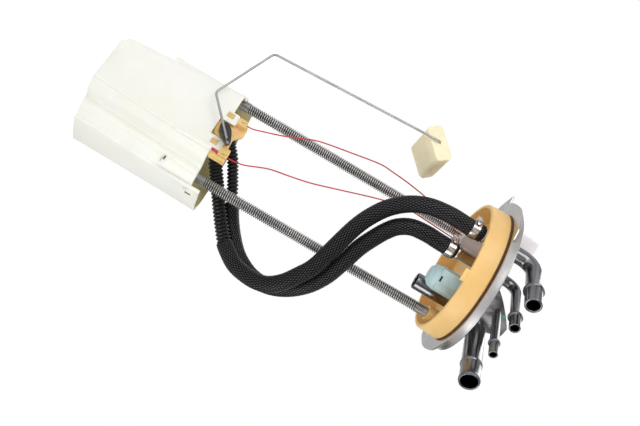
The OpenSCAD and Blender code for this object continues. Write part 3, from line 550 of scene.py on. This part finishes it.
tube_steel = finish(
    "tube_steel", paint(132, 132, 135), paint(112, 113, 116), (0.16, 0.25), 1.0, 60, 400, 0.000003)
port_turn = math.radians(-56)
port_way = Vector((math.cos(port_turn), math.sin(port_turn), 0))
port_side = (-math.sin(port_turn), math.cos(port_turn), 0)
wall = 0.001
vent_beads = ((0.017, 0.0024, 0.0007), (0.0019, 0.0028, 0.0005))
vapour_beads = ((0.012, 0.0024, 0.0010),)
for node, end, length, radius, beads in (
        ("vent_port", (0.0622, -0.0626, 0.018), 0.064, 0.007, vent_beads),
        ("vapour_port", (0.0388, -0.0646, 0.022), 0.049, 0.003175, vapour_beads)):
    start = Vector(end) - length * port_way
    outline = [(0, radius)]
    for back, width, height in beads:
        outline += bead(length - back, radius, width, height)
    outline += mouth(length, radius, wall, 0.045)

    def straight(run):
        """Level from the dome to the mouth."""
        return start + run * port_way, port_way

    tube = piped(node.replace("port", "tube"), straight, port_side, outline)
    fitted(tube, tube_steel, "tube_steel", "head", node)

port_z, arc_steps = 0.028, 14
supply_spot, return_spot = (-0.0284, -0.0276), (-0.0090, -0.0193)
for node, spot, radius, rim, bend, reach, back in (
        ("supply_port", supply_spot, 0.006, 0.0017, 0.011, 0.047, 0.016),
        ("return_port", return_spot, 0.004, 0.0012, 0.009, 0.0462, 0.012)):
    rise, arc = port_z - bend, bend * math.pi / 2

    def elbow(run):
        """Up from the flange, round the bend and level to the mouth."""
        turn = min(max((run - rise) / bend, 0), math.pi / 2)
        upwards, outwards = math.cos(turn), math.sin(turn)
        height = min(run, rise) + bend * outwards
        out = bend * (1 - upwards) + max(run - rise - arc, 0)
        return Vector((*spot, height)) + out * port_way, outwards * port_way + Vector((0, 0, upwards))

    end = rise + arc + reach - bend
    outline = [
        (top_z, radius * 1.12), (top_z + 0.0004, radius * 1.1), (top_z + 0.0012, radius), (rise, radius)]
    outline += [(rise + arc * k / arc_steps, radius) for k in range(1, arc_steps + 1)]
    outline += bead(end - back, radius, 0.0028, 0.0013) + mouth(end, radius, rim, 0.034)
    tube = piped(node.replace("port", "tube"), elbow, port_side, outline)
    fitted(tube, tube_steel, "tube_steel", "head", node)


# Electrical connectors of white nylon: a socket with four blades on the outside, and a ribbed round
# inner half that takes the sender wires. They snap together through the flange.
def softened(node, name, coat, slot, edge=0.00025, segments=2):
    """A copy of a solid with its faces merged and its edges rounded, shown in the solid's place."""
    piece = placed(name, frame["nodes"][node].data.copy())
    bpy.ops.object.mode_set(mode="EDIT")
    bpy.ops.mesh.select_all(action="SELECT")
    bpy.ops.mesh.remove_doubles(threshold=0.000002)
    bpy.ops.mesh.dissolve_limited(angle_limit=math.radians(0.02))
    bpy.ops.object.mode_set(mode="OBJECT")
    rounded_edges(piece, edge, segments=segments)
    body = next(b for b, members in frame["record"]["behaviour"]["bodies"].items() if node in members)
    return fitted(piece, coat, slot, body, node)


white_nylon = finish("white_nylon", paint(246, 240, 240), paint(240, 232, 232), (0.35, 0.48))
glowing(white_nylon, 0.004, (1, 0.85, 0.8))
contact_tin = finish("contact_tin", paint(214, 190, 130), paint(196, 170, 108), (0.25, 0.4), 1.0)
softened("outer_connector", "plug_socket", white_nylon, "white_plastic", 0.0006, segments=3)
softened("connector_pins", "contact_blades", contact_tin, "contact_brass", 0.0001)
softened("inner_connector", "inner_plug", white_nylon, "white_plastic", 0.0005)


# Rollover valve, a pale blue acetal pot with a flat front and a vent slot, and the steel vent stub.
# Both hang from the flange inside the ring. The valve shuts the vent when the car is upside down.
def downwards(run):
    """Straight down from the flange."""
    return Vector((stub_x, stub_y, -run)), Vector((0, 0, -1))


valve_blue = finish("valve_blue", paint(188, 213, 214), paint(172, 201, 204), (0.35, 0.5))
softened("rollover_valve", "valve_pot", valve_blue, "valve_plastic", 0.0007, segments=3)
shadow_black = finish("shadow_black", paint(36, 38, 38), paint(24, 26, 26), (0.7, 0.8))
# The vent slot is a thin dark block of painted shadow on the valve's front.
valve_slot_shadow = block("valve_slot_shadow", (0.0130, -0.0226, -0.02365), (0.0042, 0.0016, 0.0015))
fitted(valve_slot_shadow, shadow_black, "valve_plastic", "head")
stub_x, stub_y, stub_r, stub_l = 0.0232, 0.0005, 0.00635, 0.034
stub = piped("vent_stub_tube", downwards, (1, 0, 0),
             [(-step_h, stub_r), (0.003, stub_r), *mouth(stub_l, stub_r, wall, 0.030)])
fitted(stub, tube_steel, "tube_steel", "head", "vent_stub")

# Hose nipples, turned from steel with a bright bulge that the hose is pushed up to.
# They are brazed to the supply and return tubes under the flange.
bright_steel = finish(
    "bright_steel", paint(208, 200, 194), paint(176, 168, 164), (0.14, 0.24), 1.0, bump=0.000005)
hose_ends = {"1": (supply_spot, -0.0155), "2": (return_spot, -0.024)}
nipple_r, nipple_bore, nipple_root = 0.0042, 0.0030, -0.0025
bulge_r = nipple_r + 0.0014
for number, ((x, y), end) in hose_ends.items():
    nipple = turned(f"nipple_{number}_turned", [
        (nipple_bore, end), (nipple_r + 0.0002, end), (nipple_r + 0.0006, end + 0.0003),
        (bulge_r, end + 0.0011), (bulge_r, end + 0.0025), (nipple_r, end + 0.0035), (nipple_r, nipple_root),
        (nipple_bore, nipple_root), (nipple_bore, end)], 0.0004, 64)
    moved(nipple, x, y)
    fitted(nipple, bright_steel, "tube_steel", "head", f"nipple_{number}")

# Hose clamps of bright strip: a slotted band, a pressed housing and the worm screw's slotted head.
# Each stands back a little from the end of its hose.
hose_r, band_w = 0.0062, 0.0055
band_in_r, band_r = hose_r + 0.00008, hose_r + 0.0007
for number, back, turn in (("1", 0.004, 205), ("2", 0.0016, 195)):
    (x, y), end = hose_ends[number]
    band = turned("band", [
        (band_in_r, 0), (band_r, 0), (band_r, band_w), (band_in_r, band_w), (band_in_r, 0)], 0.0002, 72)
    slots = []
    for degrees in range(25, 180, 10):
        slot = block("slot", (hose_r + 0.0008, 0, band_w / 2), (0.0008, 0.00035, 0.003))
        slots.append(swung(slot, math.radians(degrees)))
    shaped(band, slots, "DIFFERENCE")
    housing = block("housing", (hose_r + 0.0021, 0, band_w / 2), (0.003, 0.006, band_w - 0.0008))
    rounded_edges(housing, 0.0011, 40, 4)
    screw = rod("screw", (0, 0, 0), 0.0019, 0.0024, 24)
    rounded_edges(screw, 0.0003, 40, 2)
    shaped(screw, [block("groove", (0, 0, 0.0022), (0.0045, 0.0005, 0.0012))], "DIFFERENCE")
    swung(screw, math.radians(-90), "X")
    moved(screw, hose_r + 0.0022, 0.0029, band_w / 2)
    pick(band, housing, screw)
    bpy.ops.object.join()
    band.name = f"clamp_{number}_worm_drive"
    swung(band, math.radians(turn))
    moved(band, x, y, end - back - band_w)
    fitted(band, bright_steel, "clamp_steel", "head", f"clamp_{number}")

# Struts of ground steel bar, clenched over the flange at the top, on which the reservoir slides.
# A push-on clip on each keeps the reservoir from sliding off.
# The bars' steel is painted dark, as painted shade for the inside of the springs that wind round them.
shaded_rod_steel = finish("shaded_rod_steel", paint(88, 87, 88), paint(66, 65, 66), (0.3, 0.42), 1.0)
for node, name, coat, edge in (("strut_", "guide_rod_", shaded_rod_steel, 0.0002),
                               ("strut_clip_", "push_on_clip_", bright_steel, 0.0001)):
    for number in ("1", "2"):
        softened(node + number, name + number, coat, "spring_steel", edge)


# Coil springs wound from bright round wire, with close-wound ends.
# They push the reservoir down on the tank's floor and shorten as it slides up the struts.
def helix(radius, wire, pitch, turns, low):
    """One stretch of coil spring about the Z axis, wound upwards from the height low."""
    bpy.ops.object.select_all(action="DESELECT")
    bpy.ops.mesh.primitive_circle_add(
        vertices=8, radius=wire / 2, location=(radius, 0, low), rotation=(math.pi / 2, 0, 0))
    bpy.ops.object.transform_apply(location=True, rotation=True)
    piece = bpy.context.object
    wind = piece.modifiers.new("wind", "SCREW")
    wind.screw_offset = pitch
    wind.iterations = turns
    wind.steps = wind.render_steps = 28
    wind.use_smooth_shade = True
    bpy.ops.object.modifier_apply(modifier=wind.name)
    return sealed(piece)


spring_steel = finish("spring_steel", paint(206, 204, 203), paint(172, 171, 171), (0.28, 0.4), 1.0)
wire, coil_r, coil_pitch, closed = 0.00104, 0.0041, 0.00165, 8
mean_r, close_pitch = coil_r - wire / 2, wire * 1.01
end_length = closed * close_pitch
for number in ("1", "2"):
    x, y = strut_spots["strut_" + number]
    low, high = (corner.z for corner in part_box("spring_" + number))
    open_length = high - low - 2 * end_length - wire
    turns = round(open_length / coil_pitch)
    coil = helix(mean_r, wire, close_pitch, closed, low + wire / 2)
    others = [helix(mean_r, wire, open_length / turns, turns, low + wire / 2 + end_length),
              helix(mean_r, wire, close_pitch, closed, high - wire / 2 - end_length)]
    pick(coil, *others)
    bpy.ops.object.join()
    coil.name = f"wound_spring_{number}"
    moved(coil, x, y)
    fitted(coil, spring_steel, "spring_steel", "head", "spring_" + number, angle=180)
    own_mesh(coil)

# Reservoir, moulded in ivory acetal, with a slanted front that carries the level sender.
# Its lid, guide bushes and the pump inside are pushed in from above.
ivory = finish("ivory_acetal", paint(249, 249, 241), paint(244, 244, 234), (0.4, 0.52), 0.0, 30, 1000)
glowing(ivory, 0.0012, (1, 0.95, 0.7))
shell = softened("reservoir_shell", "reservoir_moulding", ivory, "reservoir_plastic", 0.0006, segments=3)
# The corner at its foot is filled out, from three outlines in millimetres at their heights.
low_corner = [(-2, -32.0), (-17.5, -23.56), (-17.5, 29.9), (-16.6, 31.1), (-9.1, 34.2), (-2, 35.0)]
full_corner = [(-17.8, -23.58), (-20.2, -21.5), (-21.5, -18.0), (-21.7, 20.4), (-20.5, 26.4),
               (-16.7, 31.1), (-9.1, 34.3)]
high_corner = [(-2, -32.5), (-18.4, -23.8), (-20.9, -21.7), (-22.3, -18.1), (-22.5, 20.6), (-21.3, 26.6),
               (-17.4, 31.4), (-9.5, 34.6), (-2, 35.4)]
outlines = ((-0.297, low_corner), (-0.2935, full_corner), (-0.283, high_corner))
mesh = bpy.data.meshes.new("corner")
mesh.from_pydata([(x / 1000, y / 1000, z) for z, points in outlines for x, y in points], [], [])
corner = placed("corner", mesh)
bpy.ops.object.mode_set(mode="EDIT")
bpy.ops.mesh.select_all(action="SELECT")
bpy.ops.mesh.convex_hull()
bpy.ops.object.mode_set(mode="OBJECT")
rounded_edges(sealed(corner), 0.0005, 25, 2)
shaped(shell, [corner])
# Two dark blocks are painted shade in two slots: the half-round boss's open lower end and the clip slot in
# the rib's end.
slot_shade = finish("slot_shade", paint(92, 88, 62), paint(70, 66, 44), (0.7, 0.8))
for name, size, turn, spot in (
        ("boss_slot", (0.0028, 0.0012, 0.0010), -24, (0.0372, -0.0358, -0.2304)),
        ("clip_slot", (0.0010, 0.0010, 0.0042), -26, (0.0507, -0.0245, -0.2062))):
    slot_shade_block = moved(swung(block(name, (0, 0, 0), size), math.radians(turn)), *spot)
    fitted(slot_shade_block, slot_shade, "reservoir_plastic", "reservoir")
# The upright faces that look inwards are painted a darker, warmer tone, as painted shade for the inside of
# the reservoir, warmed by the light that comes to them through the walls.
inside_shade_ivory = finish(
    "inside_shade_ivory", paint(206, 197, 146), paint(186, 176, 122), (0.45, 0.6), 0.0, 30, 1000)
shell.data.materials.append(inside_shade_ivory)
middle_x, middle_y, inside_top = 0.022, 0.002, -0.2
wall_reach, look_ahead, ahead_reach = 0.07, 0.004, 0.06
for face in shell.data.polygons:
    outward = Vector((face.center.x - middle_x, face.center.y - middle_y, 0))
    ahead = outward + look_ahead * Vector((face.normal.x, face.normal.y, 0))
    upright = abs(face.normal.z) < 0.3 and face.center.z < inside_top
    near = outward.length < wall_reach and ahead.length < ahead_reach
    if upright and near and face.normal.dot(outward) < 0:
        face.material_index = 1
softened("reservoir_cover", "reservoir_lid", ivory, "reservoir_plastic", 0.0004)
for number in ("1", "2"):
    softened("guide_bush_" + number, "flanged_bush_" + number, white_nylon, "white_plastic")
softened("outlet_elbow", "outlet_bend", white_nylon, "white_plastic")

# Pump: a rolled steel case between two black end caps, a jet pump beside it, and a mesh strainer.
# They stand inside the reservoir and hardly show.
black_plastic = finish("black_plastic", paint(40, 39, 42), paint(26, 25, 28), (0.28, 0.42))
pump_steel = finish("pump_steel", paint(178, 179, 182), paint(160, 161, 165), (0.25, 0.4), 1.0)
mesh_nylon = finish("mesh_nylon", paint(190, 196, 190), paint(170, 178, 170), (0.5, 0.6))
softened("pump_body", "pump_case", pump_steel, "spring_steel")
softened("pump_inlet_cap", "inlet_end_cap", black_plastic, "black_plastic")
softened("pump_outlet_cap", "outlet_end_cap", black_plastic, "black_plastic")
softened("jet_pump", "jet_pump_body", black_plastic, "black_plastic")
softened("inlet_strainer", "strainer_disc", mesh_nylon, "mesh_nylon")

# Level sender: an amber moulding clipped through two windows, with a printed card and two wire terminals.
# A black rotor swings a brass wiper over the card.
amber = finish("amber_plastic", paint(246, 204, 140), paint(222, 184, 104), (0.26, 0.4), 0.0, 90)
glowing(amber, 0.003, (1, 0.75, 0.3))
card = finish("card", paint(220, 222, 216), paint(208, 210, 204), (0.5, 0.6))
softened("sender_housing", "sender_moulding", amber, "amber_plastic", 0.0003)
softened("resistor_card", "printed_card", card, "ceramic", 0.0001)
softened("terminals", "wire_terminals", contact_tin, "contact_brass", 0.0001)
softened("wiper", "wiper_blade", contact_tin, "contact_brass", 0.0001)
face_turn, lever_turn = math.radians(-24), math.radians(-42)
pivot_x, pivot_z = 0.0172, -0.2048
rotor_back, rotor_front = 0.0352, 0.0404
lever = [(-0.0040, -0.0012), (-0.0030, -0.0026), (-0.0005, -0.0036), (0.0025, -0.0038), (0.0055, -0.0031),
         (0.0085, -0.0021), (0.0110, -0.0012)]
rotor = plate("moulded_rotor", [*lever, *((x, -z) for x, z in reversed(lever))], rotor_back, rotor_front)
hub = rod("hub", (0, 0, 0.0300), 0.00195, 0.0100, 32)
hook = block("hook", (0.0094, 0, 0.0408), (0.0018, 0.0030, 0.0030))
shaped(rotor, [hub, hook])
rounded_edges(rotor, 0.0004, 40, 3)
swung(rotor, math.radians(90), "X")
swung(rotor, lever_turn, "Y")
moved(rotor, pivot_x, 0, pivot_z)
swung(rotor, face_turn)
fitted(rotor, black_plastic, "black_plastic", "float_arm", "rotor")


# Float arm, one length of bright spring wire with three cold bends, clipped into the rotor.
# Its last leg runs through the float, which is cut from a block of cream closed-cell foam.
def lengthways(edge):
    """Whether an edge runs along the float's hole."""
    return abs((edge.verts[0].co - edge.verts[1].co).y) > float_t / 2


arm_y, arm_r = -0.041, 0.00085
float_w, float_t, float_l = 0.0125, 0.034, 0.027
float_x, float_y, float_z = -0.0596, arm_y + 0.002, -0.0713
float_turn = math.radians(-42)
corners = [(0.0265, arm_y, -0.1976), (-0.0017, arm_y, -0.2230), (-0.0510, arm_y, -0.2038),
           (float_x, arm_y, float_z), (float_x, float_y + float_t * 0.75, float_z)]
line = rounded(corners, 0.0028, 8)
curve = bpy.data.curves.new("arm", "CURVE")
curve.dimensions = "3D"
curve.bevel_depth = arm_r
curve.bevel_resolution = 5
curve.use_fill_caps = True
spline = curve.splines.new("POLY")
spline.points.add(len(line) - 1)
for point, spot in zip(spline.points, line):
    point.co = (*spot, 1)
arm = placed("bent_wire_arm", curve)
bpy.ops.object.convert(target="MESH")
swung(sealed(arm), face_turn)
arm_wire = finish(
    "arm_wire", paint(186, 185, 184), paint(150, 149, 149), (0.34, 0.46), 1.0, bump=0.000004)
fitted(arm, arm_wire, "spring_steel", "float_arm", "float_arm", angle=60)

foam = finish(
    "float_foam", paint(254, 245, 209), paint(250, 237, 198), (0.7, 0.85), 0.0, 120, 2600, 0.00006)
swim = block("foam_float", (0, 0, 0), (float_l, float_t, float_w))
bevelled(swim, lengthways, 0.0034, 7)
rounded_edges(swim, 0.0006, 50, 3)
swung(swim, float_turn, "Y")
moved(swim, float_x, float_y + float_t / 2, float_z)
swung(swim, face_turn)
fitted(swim, foam, "float_foam", "float", "float", angle=40)


# Hoses of black rubber in a woven sleeve, with a corrugated nylon end at the reservoir.
# They bow out to one side so that the reservoir can slide up without kinking them.
def evenly(points, step):
    """The same line with its points an equal distance apart."""
    lengths = [0.0]
    for a, b in zip(points, points[1:]):
        lengths.append(lengths[-1] + (b - a).length)
    count = max(2, round(lengths[-1] / step))
    found, i = [], 0
    for k in range(count + 1):
        at = lengths[-1] * k / count
        while i < len(points) - 2 and lengths[i + 1] < at:
            i += 1
        share = (at - lengths[i]) / max(1e-9, lengths[i + 1] - lengths[i])
        found.append(points[i].lerp(points[i + 1], min(1.0, share)))
    return found


def tube_mesh(name, points, radius_at, sides):
    """A tube along the points. radius_at gives its radius at a length and an angle.
    Its UV map holds the length, and the angle as a share of the whole turn."""
    shape = bmesh.new()
    uv = shape.loops.layers.uv.new("along")
    across = (points[1] - points[0]).cross(Vector((0.31, 0.87, 0.39))).normalized()
    rings, runs, run = [], [], 0.0
    for before, spot, after in zip([points[0], *points], points, [*points[1:], points[-1]]):
        ahead = (after - before).normalized()
        across = (across - across.dot(ahead) * ahead).normalized()
        side = ahead.cross(across)
        run += (spot - before).length
        runs.append(run)
        rings.append([])
        for k in range(sides):
            a = 2 * math.pi * k / sides
            way = math.cos(a) * across + math.sin(a) * side
            rings[-1].append(shape.verts.new(spot + radius_at(run, a) * way))
    for low, high, start, end in zip(rings, rings[1:], runs, runs[1:]):
        for k in range(sides):
            face = shape.faces.new((low[k], low[(k + 1) % sides], high[(k + 1) % sides], high[k]))
            for loop, (u, v) in zip(face.loops, ((start, k), (start, k + 1), (end, k + 1), (end, k))):
                loop[uv].uv = (u, v / sides)
    for ring, turn in ((rings[0], -1), (rings[-1], 1)):
        shape.faces.new(ring[::turn])
    shape.normal_update()
    mesh = bpy.data.meshes.new(name)
    shape.to_mesh(mesh)
    shape.free()
    return placed(name, mesh)


def millimetres(points):
    """A route written in millimetres, as points in metres."""
    return [Vector(p) / 1000 for p in points]


def woven(name):
    """The woven sleeve's finish: glossy strands in two directions, their crowns painted lighter as painted
    highlight and the grooves between them painted black as painted shade.
    """
    made = finish(name, paint(40, 40, 43), paint(20, 20, 23), (0.26, 0.38), 0.0, 500, 1500)
    nodes, links = made.node_tree.nodes, made.node_tree.links

    def worked_out(operation, first, second=None):
        """One arithmetic step, on sockets or plain numbers."""
        step = nodes.new("ShaderNodeMath")
        step.operation = operation
        for socket, value in zip(step.inputs, (first, second)):
            if isinstance(value, float):
                socket.default_value = value
            elif value:
                links.new(value, socket)
        return step.outputs[0]

    place = nodes.new("ShaderNodeUVMap")
    place.uv_map = "along"
    parts = nodes.new("ShaderNodeSeparateXYZ")
    links.new(place.outputs[0], parts.inputs[0])
    round_share = worked_out("MULTIPLY", parts.outputs["Y"], math.pi * strands)
    run_share = worked_out("MULTIPLY", parts.outputs["X"], math.pi / braid_pitch)
    waves = [worked_out("SINE", worked_out(way, round_share, run_share)) for way in ("ADD", "SUBTRACT")]
    crowns = [worked_out("ABSOLUTE", wave) for wave in waves]
    crown = worked_out("MULTIPLY", *crowns)
    shade = toned(nodes, links, crown, 0.12, 0.75, paint(7, 7, 8), paint(42, 42, 45))
    shader = nodes["Principled BSDF"]
    links.new(shade, shader.inputs["Base Color"])
    links.new(level(nodes, links, crown, 0.3, 0.9, 0.05, 0.6), shader.inputs["Specular IOR Level"])
    return made


strands, braid_pitch, braid_depth = 20, 0.0038, 0.00045
loom_pitch, loom_depth = 0.0028, 0.0014
braid_black = woven("braid_black")
loom_black = finish("loom_black", paint(24, 24, 26), paint(14, 14, 16), (0.24, 0.34))
loom_black.node_tree.nodes["Principled BSDF"].inputs["Specular IOR Level"].default_value = 0.4
hose_1_low = [
    [9, 16, -213.7], [9, 16, -211], [10.6, 16.6, -208.2], [14.5, 18, -206.4], [22.3, 20.5, -204.6],
    [31, 21.5, -198.9], [44.9, 18.5, -188.7], [54.4, 16.5, -181.7], [63.8, 14.5, -174.3],
    [71, 12.5, -167.9]]
hose_1_high = [
    [75.8, 9.5, -161.6], [80.1, 6, -154], [81.8, 2, -146.1], [82, -3, -135.6], [79.4, -6.5, -126.3],
    [72.3, -9.5, -117.7], [62.4, -12, -110.8], [50.2, -14.5, -104], [30.4, -17.5, -98.9],
    [12, -20, -93.8], [-0.7, -21.5, -88.1], [-12, -23, -80.3], [-21, -25, -69.6], [-26.5, -26.5, -56.9],
    [-28.6, -27.5, -42], [-28.4, -27.6, -28], [-28.4, -27.6, -15.5]]
hose_2_low = [
    [-6, 25, -213.7], [-6, 25, -211], [-4.6, 25, -208], [-0.8, 25.2, -205.2], [6.9, 25.5, -200.9],
    [13.9, 25.5, -195.2], [24.9, 25.5, -188.7], [34.7, 25.5, -183.2], [43.6, 25.5, -179]]
hose_2_high = [
    [53.4, 25, -173.4], [63.7, 23.5, -165.8], [73.5, 21.5, -156.3], [79, 18, -147.4], [82.1, 14, -138.6],
    [82.6, 9.5, -128.6], [79.7, 5, -118.6], [73.7, 0.5, -108.8], [66, -3.5, -100.9], [58.9, -6, -95.9],
    [49.8, -9, -91.5], [36.7, -12.5, -87.5], [22.8, -15.5, -83.4], [10.9, -18, -77.9],
    [3.5, -19.5, -73.7], [-3.2, -20.5, -68.1], [-7.9, -21.5, -59.5], [-9.3, -20.7, -47.9],
    [-9.1, -19.8, -39.3], [-9, -19.3, -31], [-9, -19.3, -24]]


def braid_radius(run, angle):
    """Woven sleeve: strands cross over and under each other in two directions."""
    a = angle * strands / (2 * math.pi) + run / braid_pitch
    b = angle * strands / (2 * math.pi) - run / braid_pitch
    over = (math.floor(a) + math.floor(b)) % 2
    across, along = (a, b) if over else (b, a)
    crown = math.sin(math.pi * (across % 1)) ** 0.7 * (0.45 + 0.55 * math.sin(math.pi * (along % 1)))
    return hose_r - braid_depth + braid_depth * crown


line_steps, braid_step = 40, 0.00048
for number, low_route, high_route, loom_r in (
        ("1", hose_1_low, hose_1_high, 0.0054), ("2", hose_2_low, hose_2_high, 0.0045)):

    def rib_radius(run, angle):
        """Corrugated conduit: round-topped ribs with narrow grooves between them."""
        lift = abs(math.sin(math.pi * run / loom_pitch)) ** 0.8
        return loom_r - loom_depth + loom_depth * lift

    line = smooth_line(millimetres(low_route + high_route), line_steps)
    split = (len(low_route) - 1) * line_steps
    for kind, stretch, radius_at, step, sides, coat, slot in (
            ("corrugated", line[:split + 1], rib_radius, loom_pitch / 12, 36, loom_black, "loom_black"),
            ("braided", line[split:], braid_radius, braid_step, 100, braid_black, "hose_braid")):
        hose = tube_mesh(f"hose_{number}_{kind}_tube", evenly(stretch, step), radius_at, sides)
        fitted(hose, coat, slot, None, f"hose_{number}_{kind}", angle=180)
        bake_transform(hose)

# Sender wires, thin copper strand in red insulation, pushed into the sender's terminals.
# They hang free beside the struts and end in the inner connector.
wire_red = finish("wire_red", paint(206, 48, 42), paint(184, 30, 28), (0.3, 0.4))
wire_r, wire_step = 0.00047, 0.0015
wire_routes = {
    "wire_1": [[-9.5, -32.9, -193.5], [-9.6, -32.7, -189.5], [-12.6, -31.5, -180], [-16.6, -28, -169],
               [-20.5, -25, -160], [-26.4, -20.5, -146.2], [-31.6, -15, -121.9], [-35.6, -10, -100.5],
               [-35.6, -7, -89.3], [-34.5, -4, -72.7], [-31.5, -3, -54], [-26, -5, -38], [-22, -8, -28],
               [-22, -8, -23]],
    "wire_2": [[15.8, -44.15, -193.5], [15.9, -43.8, -190], [14.3, -39, -181.5], [8.2, -32, -166.5],
               [4.9, -26, -151], [1.4, -20, -136], [-5, -13, -116], [-14.1, -6, -87.5], [-18.5, -2, -68],
               [-18, -4, -48], [-17, -7.6, -30], [-17, -8, -23]],
}
for node, route in wire_routes.items():
    line = evenly(smooth_line(millimetres(route), 20), wire_step)
    lead = tube_mesh(node + "_insulated", line, lambda run, angle: wire_r, 12)
    fitted(lead, wire_red, "wire_red", None, node, angle=180)
    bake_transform(lead)

# A red crimp sleeve lies on the sender's face, below the second terminal.
sleeve = rod("crimp_sleeve", (0.0157, -0.0444, -0.2056), 0.0009, 0.0048, 20)
rounded_edges(sleeve, 0.0002, 40, 2)
fitted(sleeve, wire_red, "wire_red", "reservoir")
